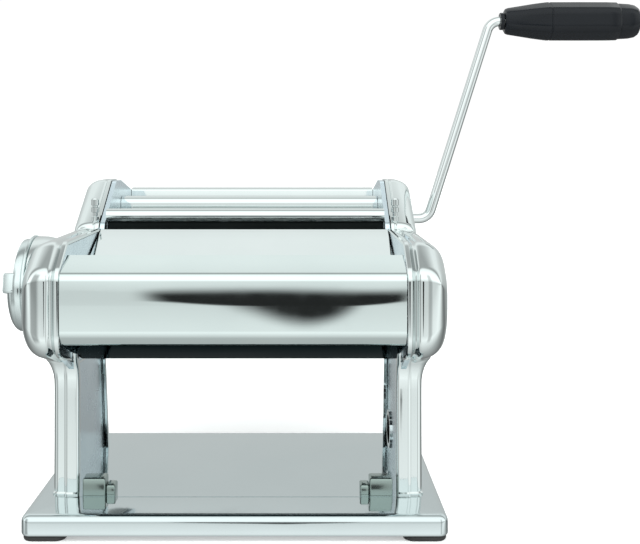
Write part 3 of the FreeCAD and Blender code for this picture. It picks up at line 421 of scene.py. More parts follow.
def make_tray():
    skirt = span("base_plate")[0].z
    corner, edge, wall = 4.5, 3.4, 1.2
    levels = [(wall + 0.6, BASE_TOP - wall), (wall, BASE_TOP - wall - 0.6), (wall, skirt + 0.3),
              (0.9, skirt), (0.4, skirt + 0.15), (0.1, skirt + 0.6), (0.0, skirt + 1.3),
              (0.0, BASE_TOP - edge)]
    for step in range(1, 8):
        turn = math.radians(90 * step / 7)
        levels.append((edge * (1 - math.cos(turn)), BASE_TOP - edge * (1 - math.sin(turn))))
    rings = [[at(p.x, p.y, height) for p in rectangle(inset, max(corner - inset, 1.5))]
             for inset, height in levels]
    tray = build("tray", rings)
    groove = [(24.4, 11.75), (24.9, 11.75), (24.9, 12.5), (24.4, 12.5)]
    carve(tray, [build("groove", [[at(x, y, z) for y, z in groove] for x in (-75.5, 75.5)])])
    settle(tray, "machine", "chrome_sheet", tray_chrome, "base_plate")


make_tray()
print("tray top at", round(BASE_TOP, 1), "mm")

# %% [markdown]
# Under the corners sit four rubber feet with a rounded sole, and on the tray two stepped metal
# blocks hold the front of the legs. Both are stacks of rounded rectangles again. They are made
# in loops, because the left and right ones are the same shape in another place.

# %% Feet and brackets
SOLE = ((2.5, 0.25), (1.2, 0), (0.5, 0.1), (0.1, 0.6), (0, 1.4), (0.3, 2.1), (2.0, 2.3), (2.4, 4), (2.4, 10))


def make_feet():
    feet = []
    width, depth, edge = 20.0, 25.0, 0.6
    for left in (-HALF_BASE + edge, HALF_BASE - edge - width):
        for front in (edge, BASE_DEPTH - edge - depth):
            rings = []
            for inset, height in SOLE:
                radius = 5 - inset
                near, far = front + inset, front + depth - inset
                outline = rounded([(left + inset, near, radius), (left + width - inset, near, radius),
                                   (left + width - inset, far, radius), (left + inset, far, radius)])
                rings.append([at(p.x, p.y, height) for p in outline])
            feet.append(build("foot", rings))
    settle(melt("feet", feet), "machine", "rubber_foot", rubber, "rubber_feet")


def make_brackets():
    parts = []
    for side in (1, -1):
        for low, high, front, rear, top in ((63.5, 74.5, 25.5, 34.5, 20.4), (59.0, 63.4, 26.5, 34.5, 17.0)):
            rings = []
            for inset, height in ((0, BASE_TOP), (0, top - 0.8), (0.25, top - 0.25), (0.8, top)):
                near, far = front + inset, rear - inset
                box = ((low + inset, near), (high - inset, near), (high - inset, far), (low + inset, far))
                outline = rounded([(x, y, 0.8) for x, y in box])
                rings.append([at(side * p.x, p.y, height) for p in outline])
            parts.append(build("bracket", rings))
    settle(melt("foot_brackets", parts), "machine", "bright_rod", dark_plate, "foot_brackets")


make_feet()
make_brackets()
print("four feet and two brackets")

# %% [markdown]
# The side covers are deep pressings: a rolled rim round the mouth, one soft groove beside it, and
# a dome that swells outwards. Sculpting or subdividing a cage would give a dome too, but the rim
# and the groove need to stay even all the way round. So the outline is a six-sided figure with
# rounded corners, and each ring moves its sides inwards, each by its own share of a quarter turn.

# %% Pressed shells
HEAD = [(-7.3, 85.7, 12.5), (-7.3, 123.5, 8.5), (9.7, 136.0, 9.5), (91.0, 136.0, 5.0),
        (91.0, 70.0, 12.5), (35.4, 73.0, 12.5)]
HEAD_SWELL = (10.0, 12.0, 12.0, 5.0, 12.0, 13.0)
MOUTH = ((78.0, 1.8), (78.0, 0.6), (78.4, 0.15), (79.2, 0.0), (80.1, 0.1), (80.7, 0.6), (81.3, 1.5),
         (82.0, 1.9), (82.7, 1.6), (83.3, 0.8), (83.9, 0.35))


def swollen(corners, swell, wall, share):
    """The outline at one share of the way out, where every side turns over like a quarter circle."""
    turning = 1 - math.sqrt(max(1 - share * share, 0))
    insets = [wall + full * turning for full in swell]
    radii = [max(corner[2] - wall + 3 * turning, 1.0) for corner in corners]
    return rounded(inset_outline(corners, insets, radii))


def shell_rings(corners, swell, mouth, first, reach, wall=2.4, steps=14):
    """Rings of a pressed shell: inner face, inner wall, mouth, outer wall, outer face."""
    shares = [math.sin(math.radians(90 * step / steps)) for step in range(steps + 1)]
    inside = [(first + (reach - wall - first) * share, wall, share) for share in shares[::-2]]
    lips = [(x, inset, 0.0) for x, inset in mouth]
    outside = [(first + (reach - first) * share, 0.15, share) for share in shares]
    return [[(x, p.x, p.y) for p in swollen(corners, swell, inset, share)]
            for x, inset, share in inside + lips + outside]


def sided(ring, side):
    """One ring on the right-hand side (1) or mirrored to the left (-1)."""
    return [at(side * x, y, z) for x, y, z in ring]


print("rings in a side cover", len(shell_rings(HEAD, HEAD_SWELL, MOUTH, 85.0, 97.3)))

# %% [markdown]
# Below the dome the same pressing narrows into a leg: a channel, open towards the inside, whose
# front has a soft line down the middle and whose rear edge slants. Cutting it from a block would
# lose the even wall, so it is lofted upwards from a channel-shaped outline. It flares a little at
# its foot, and more at its top, where it runs into the dome.

# %% Legs
def leg_section(rear, flare, wall=1.3):
    """Outline (X, Y) of the channel at one height; the flare widens it outwards and forwards."""
    side, front = 89.0 + flare, 27.0 - flare
    outer = rounded([(76.5, front + 4, 0.1), (76.5, front, 1.9), (82.2, front, 2.0),
                     (83.4, front + 0.7, 2.0), (side, front + 0.9, 4.6), (side, rear, 5.0),
                     (76.5, rear, 1.2), (76.5, rear - 4, 0.1)],
                    closed=False)
    inner = rounded([(77.7, rear - 4, 0.1), (77.7, rear - wall, 0.4), (side - wall, rear - wall, 3.6),
                     (side - wall, front + 0.9 + wall, 3.2), (83.4, front + 0.9 + wall, 0.6),
                     (82.2, front + 0.1 + wall, 0.6), (77.7, front + wall, 0.6),
                     (77.7, front + 4, 0.1)], closed=False)
    return outer + inner


# height, rear edge and flare of each ring of the leg
LEG_LEVELS = ((BASE_TOP, 105.9, 0.7), (BASE_TOP + 0.7, 105.7, 0.8), (BASE_TOP + 1.4, 105.5, 0.1),
              (40, 100.8, 0), (58, 97.6, 0), (63, 96.6, 0), (67, 94.5, 0.1), (70, 92.5, 0.5),
              (73, 90.5, 1.3), (75.5, 89, 2.4), (78, 88, 4.0), (82, 87, 5.5))


def make_leg(side):
    rings = []
    for height, rear, flare in LEG_LEVELS:
        rings.append([at(side * p.x, p.y, height) for p in leg_section(rear, flare)])
    return build("leg", rings)


# %% [markdown]
# Each cover is a shell and a leg kept as one piece, with a hole for the shaft that comes out of
# it. The left one also has a raised round boss under the knob. The places of the two shafts are
# written once, because the covers, the boss and the knob all need them.

# %% Side covers
DRIVE = Vector((64.0, 109.0))
KNOB = Vector((29.0, 113.0))


def make_side_cover(side, name, hole):
    reach = span("right_side_cover")[1].x
    rings = shell_rings(HEAD, HEAD_SWELL, MOUTH, 85.0, reach)
    head = build(name, [sided(ring, side) for ring in rings])
    y, z, radius = hole
    carve(head, [turned("hole", [(80, radius), (110, radius)], y, z, 48, side=side)])
    return melt(name, [head, make_leg(side)])


right_cover = make_side_cover(1, "side_cover_right", (DRIVE.x, DRIVE.y, 6.5))
settle(right_cover, "machine", "chrome_sheet", chrome, "right_side_cover")
left_cover = make_side_cover(-1, "side_cover_left", (KNOB.x, KNOB.y, 4.3))
boss_profile = [(84, 5), (84, 19), (88, 22.6), (92, 23.4), (96.4, 23.6), (97.0, 23.4), (97.2, 22.8),
                (97.2, 5)]
boss = turned("boss", boss_profile, KNOB.x, KNOB.y, loop=True, side=-1)
settle(melt("side_cover_left", [left_cover, boss]), "machine", "chrome_sheet", chrome, "left_side_cover")
print("side covers reach", round(span("right_side_cover")[1].x, 1), "mm from the middle")

# %% [markdown]
# The front cover, the feed ramp and the covers of the cutting head are folded sheet. A Solidify
# modifier could thicken a bent strip, but its bends come out faceted. So each sheet is drawn as
# a path seen from the side, with a radius at every bend, and the outline is thickened along it.

# %% Folded sheet
def sheet_section(path, thickness, steps=CORNER_STEPS):
    """Closed outline (Y, Z) of folded sheet, thickened to the left of the path."""
    line = rounded(path, closed=False, steps=steps)
    runs = [(b - a).normalized() for a, b in zip(line, line[1:]) if (b - a).length > 1e-6]
    clean = [line[0]] + [b for a, b in zip(line, line[1:]) if (b - a).length > 1e-6]
    back = []
    for place, point in enumerate(clean):
        before = runs[max(place - 1, 0)]
        after = runs[min(place, len(runs) - 1)]
        miter = Vector((-before.y - after.y, before.x + after.x)) / (1 + before.dot(after))
        back.append(point + miter * thickness)
    return clean + back[::-1]


def folded(name, path, half, thickness=0.8):
    outline = sheet_section(path, thickness)
    stations = (-half, -half + 0.15, -half / 2, 0, half / 2, half - 0.15, half)
    rings = [[at(x, p.x, p.y) for p in outline] for x in stations]
    return build(name, rings)


def darken_underside(piece, material, steepness=-0.82):
    """Painted shade on the underside: faces that look down get the near-black material."""
    piece.data.materials.append(material)
    for face in piece.data.polygons:
        if face.normal.z < steepness:
            face.material_index = 1


# %% [markdown]
# The front cover is the face of the machine: a slope with a soft nose, a nearly upright front and
# a tuck under the head. Its downward faces take a second, nearly black finish, which is painted
# shade under the cover. The ramp behind it guides the dough, and the rear cover closes the box.

# %% Front cover, feed ramp and rear cover
HALF_SHEET = span("front_cover")[1].x
front_path = [(8.0, 129.8, 0), (-7.55, 122.4, 4.6), (-8.25, 110.0, 30), (-7.8, 95.6, 6),
              (-3.4, 90.2, 4.5), (40.0, 75.0, 0)]
front_cover = folded("folded_front_cover", front_path, HALF_SHEET)
settle(front_cover, "machine", "chrome_sheet", cover_chrome, "front_cover")
# painted shade: the downward faces of the front cover turn nearly black
darken_underside(front_cover, under_plate)

ramp_path = [(89.2, 130.5, 0), (88.6, 135.4, 1.2), (58.0, 123.5, 1.0), (57.4, 121.6, 0)]
feed_ramp = folded("folded_feed_ramp", ramp_path, HALF_SHEET)
settle(feed_ramp, "machine", "chrome_sheet", chrome, "feed_ramp")

rear_path = [(64.0, 77.0, 0), (90.5, 83.0, 5.5), (90.5, 132.5, 0)]
rear_cover = folded("folded_rear_cover", rear_path, HALF_SHEET)
settle(rear_cover, "machine", "chrome_sheet", chrome, "rear_cover")
print("folded covers span", round(2 * HALF_SHEET, 1), "mm")

# %% [markdown]
# The cutting head ends in a smaller pair of pressings. The shell helper that made the side
# covers makes them too, from an eight-sided outline, so both share the same rolled rim. A notch
# low in front clears the rail, and on the right two holes let the crank through.

# %% Cutting head end caps
CAP = [(92, 92, 6), (92, 137, 5), (130, 160.5, 8), (146, 160.5, 9), (196, 151, 8), (196, 102, 9),
       (182, 88, 9), (100, 88, 6)]
CAP_SWELL = (4.0, 6.0, 7.0, 6.0, 5.0, 5.0, 5.0, 5.0)
CAP_MOUTH = ((80.0, 1.9), (80.0, 0.5), (80.3, 0.1), (81.0, 0.0), (82.0, 0.05), (82.4, 0.5), (83.0, 0.6),
             (83.5, 0.2))
WIDE_SOCKET = (132.75, 124.0)
CRANK = (159.25, 135.5)


def make_cap(side, holes):
    reach = span("right_cutter_cap")[1].x
    rings = shell_rings(CAP, CAP_SWELL, CAP_MOUTH, 84.5, reach)
    cap = build("cutter_cap", [sided(ring, side) for ring in rings])
    tools = [turned("hole", [(78, 5.2), (110, 5.2)], y, z, 48, side=side) for y, z in holes]
    opening = ((85, 80), (104.2, 80), (104.2, 130.4), (85, 130.4))
    notch = [[at(side * x, y, z) for y, z in opening] for x in (78, 87.3)]
    carve(cap, tools + [build("notch", notch)])
    return cap


settle(make_cap(1, (WIDE_SOCKET, CRANK)), "cutting_head", "chrome_sheet", chrome, "right_cutter_cap")
settle(make_cap(-1, ()), "cutting_head", "chrome_sheet", chrome, "left_cutter_cap")

print("end caps reach", round(span("right_cutter_cap")[1].x, 1), "mm from the middle")

# %% [markdown]
# Between the caps run three sheets. The front one is rolled into a bead along its top edge, which
# is a tube here, with the plain wall set back under it. A gently bent sheet divides the wide slot
# from the narrow one, and a folded cover closes the rear.

# %% Cutting head sheets
HALF_CUTTER = span("cutter_front_cover")[1].x
bead_profile = [(-HALF_CUTTER, 3.2), (-HALF_CUTTER, 3.9), (HALF_CUTTER, 3.9), (HALF_CUTTER, 3.2)]
bead = turned("bead", bead_profile, 101, 141.5, loop=True)
bead_wall = folded("bead_wall", [(101.8, 138.0, 0), (101.8, 100.0, 0)], HALF_CUTTER)
settle(bead, "cutting_head", "chrome_sheet", chrome, "cutter_front_cover")
settle(bead_wall, "cutting_head", "chrome_sheet", shadow_plate)
divider_path = [(152.8, 146.5, 0), (151.8, 150.3, 2), (145.2, 148.8, 4), (145.2, 110.0, 0)]
divider = folded("folded_divider", divider_path, HALF_CUTTER)
settle(divider, "cutting_head", "chrome_sheet", chrome, "slot_divider")
back_path = [(194.0, 104.0, 0), (194.0, 147.5, 3), (189.5, 153.6, 2.5), (183.6, 152.6, 1.5),
             (183.3, 147.9, 0)]
back = folded("folded_back", back_path, HALF_CUTTER)
settle(back, "cutting_head", "chrome_sheet", chrome, "cutter_rear_cover")
print("sheets of the cutting head span", round(2 * HALF_CUTTER, 1), "mm")

# %% [markdown]
# The head hooks onto the machine with pins on each side, and a small grooved post stands beside
# its front edge. Both are spun profiles, one about an upright line and one about the X axis,
# which keeps them round at any distance.

# %% Posts and hook pins
POST = ((136.5, 2.0), (141.0, 2.0), (141.3, 1.3), (143.4, 1.3), (143.7, 2.2), (146.2, 2.2), (146.5, 1.5),
        (147.2, 1.5), (147.5, 2.2), (150.6, 2.2), (151.2, 1.8), (151.5, 1.0))
PIN = ((79.8, 1.9), (85.0, 1.9), (85.3, 1.7), (85.4, 1.2))
PIN_HEIGHTS = (106.1, 114.0)


def upright(name, profile, x, y, steps=32):
    """Spin a profile of (z, radius) about an upright line."""
    rings = []
    for z, radius in profile:
        turns = (2 * math.pi * step / steps for step in range(steps))
        rings.append([at(x + radius * math.cos(t), y + radius * math.sin(t), z) for t in turns])
    return build(name, rings)


posts = []
for side in (1, -1):
    posts.append(upright("post", POST, side * 82.8, 97.0))
    for z in PIN_HEIGHTS:
        posts.append(turned("pin", PIN, 97, z, 32, side=side))
settle(melt("hook_pins_and_posts", posts), "cutting_head", "machined_steel", chrome, "cutter_hook_pins")
print("two posts and", 2 * len(PIN_HEIGHTS), "pins")

# %% [markdown]
# The crank is one bent rod. A curve with a round bevel would do it, but a mesh keeps its ends
# closed and its bends smooth: a circle is carried along the bent centre line, and because the
# line stays in one upright plane, each ring only has to tilt with it. A dark collar ends the rod.

# %% Crank rod and collar
ROD = 3.0
LIFT = 121.2
ROD_LINE = [(71.6, 0, 0), (109.3, 0, 7.8), (147.6, LIFT, 7.8), (235.6, LIFT, 0)]


def make_rod():
    line = rounded(ROD_LINE, closed=False, steps=14)
    rings = []
    for place, point in enumerate(line):
        before = line[max(place - 1, 0)]
        after = line[min(place + 1, len(line) - 1)]
        run = (after - before).normalized()
        ring = []
        for step in range(32):
            turn = 2 * math.pi * step / 32
            off = Vector((-run.y, run.x)) * ROD * math.cos(turn)
            y = CRANK[0] + ROD * math.sin(turn)
            ring.append(at(point.x + off.x, y, CRANK[1] + point.y + off.y))
        rings.append(ring)
    return build("bent_rod", rings)


settle(make_rod(), "crank", "bright_rod", bright_rod, "crank_rod")
collar_profile = [(153.4, 3.1), (153.4, 5.0), (153.7, 5.3), (155.4, 5.3), (155.7, 5.0), (155.7, 3.1)]
collar = turned("rod_collar", collar_profile, CRANK[0], CRANK[1] + LIFT, loop=True)
settle(collar, "crank", "bright_rod", black_grip, "crank_collar")
print("crank lifts", LIFT, "mm")

# %% [markdown]
# The black grip has six facets, two seams and a rounded tail. A six-sided cylinder would be too
# sharp, so each ring is a circle whose radius is cut down towards six flats. A third number says
# how strongly, and lets the round neck and the round tail grow out of the facets.

# %% Grip
GRIP_START = 156.1
# distance along the rod, radius, strength of the facets
GRIP_SHAPE = ((0.0, 3.4, 0.3), (0.0, 6.6, 0.4), (0.6, 7.6, 0.5), (2.0, 8.2, 0.5), (9.0, 9.3, 0.8),
              (17.0, 10.6, 1), (23.0, 11.4, 1), (26.0, 11.75, 1), (27.0, 11.75, 1), (27.3, 11.45, 1),
              (27.8, 11.45, 1), (28.1, 11.75, 1), (45.0, 11.8, 1), (62.0, 11.75, 1), (68.6, 11.6, 1),
              (69.2, 11.2, 1), (69.6, 10.8, 0.9), (70.2, 10.9, 0.9), (76.0, 10.6, 0.8), (79.5, 9.9, 0.6),
              (81.4, 8.6, 0.3), (82.3, 6.6, 0.1), (82.5, 4.0, 0.0), (82.5, 1.0, 0.0))


def make_grip():
    rings = []
    axis = CRANK[1] + LIFT
    for along, radius, facet in GRIP_SHAPE:
        ring = []
        for step in range(96):
            turn = 2 * math.pi * step / 96
            off = (turn % (math.pi / 3)) - math.pi / 6
            flat = math.cos(math.pi / 6) / math.cos(off)
            corner = min(flat * 1.08, 1.0)
            reach = radius * (1 - facet + facet * corner)
            y = CRANK[0] + reach * math.cos(turn - math.pi / 6)
            ring.append(at(GRIP_START + along, y, axis + reach * math.sin(turn - math.pi / 6)))
        rings.append(ring)
    return build("faceted_grip", rings)


settle(make_grip(), "grip", "black_grip", black_grip, "crank_grip")
print("grip is", GRIP_SHAPE[-1][0], "mm long")

# %% [markdown]
# The knob that sets the gap is a thin disc with a bar across it to hold. The bar has flat ends and
# is tipped up at the front, and below it the disc thickens into a rounded lower half. Three
# shapes are lofted in the knob's own tipped frame, because they share its angle.

# %% Gap knob
TIPPED = math.radians(-10.2)
# how far out each ring lies, and how far it is set in from the rim
LOWER_HALF = ((101.5, 0.2), (103.4, 0.3), (104.6, 1.0), (105.6, 2.2), (106.3, 3.8), (106.7, 5.6),
              (106.8, 7.4))
BAR = ((101.5, 0.0), (106.8, 0.0), (107.3, 0.2), (107.6, 0.6), (107.7, 1.1))


def on_knob(x, along, high):
    """A point of the knob, whose bar is tipped up at the front."""
    return at(-x, KNOB.x + along * math.cos(TIPPED) - high * math.sin(TIPPED),
              KNOB.y + along * math.sin(TIPPED) + high * math.cos(TIPPED))


def make_knob():
    seat, radius = 99.05, 22.3
    rim = [(seat, 4.2), (seat, radius - 0.7), (seat + 0.3, radius - 0.2), (seat + 0.7, radius),
           (102.0, radius), (102.8, radius - 0.3), (103.2, radius - 1.1), (103.2, radius - 2.4),
           (102.3, radius - 4), (102.0, 4.2)]
    disc = turned("disc", rim, KNOB.x, KNOB.y, loop=True, side=-1)
    lower = []
    for x, inset in LOWER_HALF:
        reach = radius - inset
        arc = [math.pi + math.pi * step / 64 for step in range(3, 62)]
        lower.append([on_knob(x, reach * math.cos(turn), reach * math.sin(turn)) for turn in arc])
    bar = []
    for x, inset in BAR:
        long, high = 21.7 - inset, 4.7 - inset
        box = rounded([(-long, -high, 0.9), (long, -high, 0.9), (long, high, 0.9), (-long, high, 0.9)])
        bar.append([on_knob(x, p.x, p.y) for p in box])
    grip_bar = build("bar", bar)
    carve(grip_bar, [turned("recess", [(103.3, 3.3), (110, 3.3)], KNOB.x, KNOB.y, 40, side=-1)])
    return melt("gap_knob", [disc, build("lower_half", lower), grip_bar])


settle(make_knob(), "knob", "knob_metal", knob_plate, "regulator_knob")
seat_profile = [(97.3, 4.3), (97.3, 23.4), (97.6, 23.9), (98.5, 24.0), (98.85, 23.7), (99.0, 23.2),
                (99.0, 17.0), (98.3, 16.4), (98.3, 13.6), (99.0, 13.0), (99.0, 4.3)]
ring = turned("seat_ring", seat_profile, KNOB.x, KNOB.y, loop=True, side=-1)
settle(ring, "machine", "knob_metal", knob_plate, "knob_seat_ring")
print("knob on its seat at height", KNOB.y, "mm")

# %% [markdown]
# What repeats is grown by rules, with Geometry Nodes. Array modifiers could repeat a disc, but a
# tree keeps the count, the pitch and the sizes as named inputs that another machine can change.
# These helpers build a tree, add a node, end every tree in the same way, and keep the outcome
# as a plain mesh, so that no modifier is left when the piece is settled.

# %% Tree tools
def geometry_tree(name, inputs):
    """An empty tree with a geometry input, the named inputs and a geometry output."""
    tree = bpy.data.node_groups.new(name, "GeometryNodeTree")
    tree.interface.new_socket("Geometry", in_out="INPUT", socket_type="NodeSocketGeometry")
    for label, (kind, value) in inputs.items():
        socket = tree.interface.new_socket(label, in_out="INPUT", socket_type="NodeSocket" + kind)
        if value is not None:
            socket.default_value = value
    tree.interface.new_socket("Geometry", in_out="OUTPUT", socket_type="NodeSocketGeometry")
    return tree, tree.nodes.new("NodeGroupInput").outputs, tree.nodes.new("NodeGroupOutput").inputs


def add_node(tree, kind, inputs, **settings):
    """Add one node; each input is a value or another node's output."""
    node = tree.nodes.new(kind)
    for label, value in settings.items():
        setattr(node, label, value)
    for label, value in inputs.items():
        if isinstance(value, bpy.types.NodeSocket):
            tree.links.new(value, node.inputs[label])
        else:
            node.inputs[label].default_value = value
    return node.outputs[0]


def close_tree(tree, geometry, material, result):
    """Every tree ends alike: instances made real, then the material."""
    real = add_node(tree, "GeometryNodeRealizeInstances", {"Geometry": geometry})
    finished = add_node(tree, "GeometryNodeSetMaterial", {"Geometry": real, "Material": material})
    tree.links.new(finished, result["Geometry"])


def grow(thing, tree, **values):
    """Run a tree on an object and keep the outcome as its plain mesh."""
    modifier = thing.modifiers.new(tree.name, "NODES")
    modifier.node_group = tree
    for item in tree.interface.items_tree:
        key = item.name.lower().replace(" ", "_")
        if item.in_out == "INPUT" and key in values:
            modifier[item.identifier] = values[key]
    bpy.context.view_layer.update()
    settled_scene = bpy.context.evaluated_depsgraph_get()
    grown = bpy.data.meshes.new_from_object(thing.evaluated_get(settled_scene))
    thing.modifiers.clear()
    thing.data = grown
    print(thing.name, len(grown.polygons), "faces")
    return thing


# %% [markdown]
# A cutting roller is a row of equal discs on a shaft. The tree lays points along a line, puts a
# lying cylinder on each, and joins them to the shaft that comes in as geometry.

# %% Disc tree
def make_disc_tree():
    tree, given, result = geometry_tree("discs_on_a_shaft", {
        "First": ("Vector", None), "Count": ("Int", 11), "Pitch": ("Float", 0.013),
        "Radius": ("Float", 0.0115), "Thickness": ("Float", 0.006), "Finish": ("Material", None)})
    offset = add_node(tree, "ShaderNodeCombineXYZ", {"X": given["Pitch"]})
    line = add_node(tree, "GeometryNodeMeshLine", {
        "Count": given["Count"], "Start Location": given["First"], "Offset": offset}, mode="OFFSET")
    disc = add_node(tree, "GeometryNodeMeshCylinder", {
        "Vertices": 64, "Radius": given["Radius"], "Depth": given["Thickness"]})
    lying = add_node(tree, "GeometryNodeTransform", {"Geometry": disc, "Rotation": (0, math.pi / 2, 0)})
    discs = add_node(tree, "GeometryNodeInstanceOnPoints", {"Points": line, "Instance": lying})
    both = tree.nodes.new("GeometryNodeJoinGeometry")
    tree.links.new(given["Geometry"], both.inputs[0])
    tree.links.new(discs, both.inputs[0])
    close_tree(tree, both.outputs[0], given["Finish"], result)
    return tree


DISC_TREE = make_disc_tree()
print(DISC_TREE.name, "has", len(DISC_TREE.nodes), "nodes")

# %% [markdown]
# A spur gear follows a rule too. Teeth could be instances round a circle, but then their feet
# overlap the wheel. Here one cylinder has twelve rim points for each tooth, and every point is
# pushed out by how near it lies to the middle of a tooth, so the wheel stays one closed skin.

# %% Gear tree
def make_gear_tree():
    tree, given, result = geometry_tree("spur_gear", {
        "Centre": ("Vector", None), "Teeth": ("Int", 12), "Root": ("Float", 0.0089),
        "Reach": ("Float", 0.0122), "Width": ("Float", 0.006), "Phase": ("Float", 0.0),
        "Finish": ("Material", None)})
    rim = calculate(tree, "MULTIPLY", given["Teeth"], 12)
    blank = add_node(tree, "GeometryNodeMeshCylinder", {
        "Vertices": rim, "Radius": given["Root"], "Depth": given["Width"]})
    lying = add_node(tree, "GeometryNodeTransform", {"Geometry": blank, "Rotation": (0, math.pi / 2, 0)})
    where = tree.nodes.new("ShaderNodeSeparateXYZ")
    tree.links.new(tree.nodes.new("GeometryNodeInputPosition").outputs[0], where.inputs[0])
    bearing = calculate(tree, "ARCTAN2", where.outputs[2], where.outputs[1])
    angle = calculate(tree, "SUBTRACT", bearing, given["Phase"])
    turns = calculate(tree, "DIVIDE", angle, 2 * math.pi)
    from_tooth = calculate(tree, "PINGPONG", calculate(tree, "MULTIPLY", turns, given["Teeth"]), 0.5)
    tallest = calculate(tree, "DIVIDE", given["Reach"], given["Root"])
    flank = add_node(tree, "ShaderNodeMapRange", {
        "Value": from_tooth, "From Min": 0.24, "From Max": 0.1, "To Min": 1.0, "To Max": tallest})
    across, high = (calculate(tree, "MULTIPLY", where.outputs[i], flank) for i in (1, 2))
    moved = add_node(tree, "ShaderNodeCombineXYZ", {"X": where.outputs[0], "Y": across, "Z": high})
    cut = add_node(tree, "GeometryNodeSetPosition", {"Geometry": lying, "Position": moved})
    placed = add_node(tree, "GeometryNodeTransform", {"Geometry": cut, "Translation": given["Centre"]})
    close_tree(tree, placed, given["Finish"], result)
    return tree


GEAR_TREE = make_gear_tree()
print(GEAR_TREE.name, "has", len(GEAR_TREE.nodes), "nodes")

# %% [markdown]
# The base is held by four screws with nuts. One tree serves both: a head with any number of
# corners and a plain shank, placed on every point of the geometry that comes in.

# %% Fastener tree
def make_fastener_tree():
    tree, given, result = geometry_tree("fasteners_on_points", {
        "Corners": ("Int", 6), "Radius": ("Float", 0.0032), "Height": ("Float", 0.0024),
        "Shank Radius": ("Float", 0.002), "Shank Length": ("Float", 0.006), "Finish": ("Material", None)})
    head = add_node(tree, "GeometryNodeMeshCylinder", {
        "Vertices": given["Corners"], "Radius": given["Radius"], "Depth": given["Height"]})
    turned_head = add_node(tree, "GeometryNodeTransform", {
        "Geometry": head, "Rotation": (0, 0, math.pi / 6)})
    shank = add_node(tree, "GeometryNodeMeshCylinder", {
        "Vertices": 32, "Radius": given["Shank Radius"], "Depth": given["Shank Length"]})
    half_shank = calculate(tree, "MULTIPLY", given["Shank Length"], 0.5)
    lift = add_node(tree, "ShaderNodeCombineXYZ", {"Z": half_shank})
    raised = add_node(tree, "GeometryNodeTransform", {"Geometry": shank, "Translation": lift})
    whole = tree.nodes.new("GeometryNodeJoinGeometry")
    tree.links.new(turned_head, whole.inputs[0])
    tree.links.new(raised, whole.inputs[0])
    copies = add_node(tree, "GeometryNodeInstanceOnPoints", {
        "Points": given["Geometry"], "Instance": whole.outputs[0]})
    close_tree(tree, copies, given["Finish"], result)
    return tree


FASTENER_TREE = make_fastener_tree()
print(FASTENER_TREE.name, "has", len(FASTENER_TREE.nodes), "nodes")

# %% [markdown]
# Four cutting rollers lie in the head, in two pairs whose discs run between each other: the wide
# pair cuts ribbons, the narrow pair fine strands. The driven one of each pair has an open socket
# for the crank. Shaft, discs and gear turn together, so each roller and its gear ride one body.

# %% Cutting rollers and their gears
CUT_HALF = 74.75
CORE = 9.7
JOURNAL = 4.5
DISC_RADIUS = 11.5
SOCKET = (3.3, 24)
GEAR_TEETH = 12
GEAR_ROOT, GEAR_REACH = 8.9, 12.2


def marks(name, points):
    """An object that is only points."""
    mesh = bpy.data.meshes.new(name)
    mesh.from_pydata([tuple(point) for point in points], [], [])
    thing = bpy.data.objects.new(name, mesh)
    bpy.context.scene.collection.objects.link(thing)
    return thing


def make_cutting_roller(kind, share, pitch, gap, phase):
    node, gear_node = f"{kind}_cutting_roller_{share}", f"{kind}_{share}_gear"
    low, high = span(node)
    y, z = (low.y + high.y) / 2, (low.z + high.z) / 2
    core_half = CUT_HALF + 0.5
    profile = [(low.x, 0.4), (low.x, 4.1), (low.x + 0.4, JOURNAL), (-core_half, JOURNAL), (-core_half, CORE),
               (core_half, CORE), (core_half, JOURNAL), (high.x - 0.4, JOURNAL), (high.x, 4.1)]
    if share == "driven":
        bore, depth = SOCKET
        profile += [(high.x, bore), (high.x - depth, bore)]
    profile.append((profile[-1][0], 0.4))
    shaft = turned(node + "_discs", profile, y, z)
    first = 0.0 if share == "driven" else 0.5
    thickness = pitch / 2 - gap
    start = at(-CUT_HALF + pitch * first + thickness / 2, y, z)
    count = math.floor((2 * CUT_HALF - pitch * first) / pitch + 0.45)
    roller = grow(shaft, DISC_TREE, first=tuple(start), count=count, pitch=pitch * MM,
                  radius=DISC_RADIUS * MM, thickness=thickness * MM, finish=cutter_steel)
    settle(roller, f"{kind}_{share}", "cutting_steel", cutter_steel, node)
    near, far = span(gear_node)
    centre = at((near.x + far.x) / 2, y, z)
    gear = grow(marks(gear_node + "_teeth", [(0, 0, 0)]), GEAR_TREE, centre=tuple(centre), teeth=GEAR_TEETH,
                root=GEAR_ROOT * MM, reach=GEAR_REACH * MM, width=(far.x - near.x) * MM,
                phase=math.radians(phase), finish=oiled_steel)
    settle(gear, f"{kind}_{share}", "gear_steel", oiled_steel, gear_node)


for kind, pitch, gap, phases in (("wide", 13, 0.3, (15, 0)), ("narrow", 4, 0.15, (0, 15))):
    make_cutting_roller(kind, "driven", pitch, gap, phases[0])
    make_cutting_roller(kind, "idle", pitch, gap, phases[1])

# %% [markdown]
# The screws come up through the tray and the nuts sit on the flange of each leg. Their four
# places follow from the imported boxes, less the radius of the head or the nut.

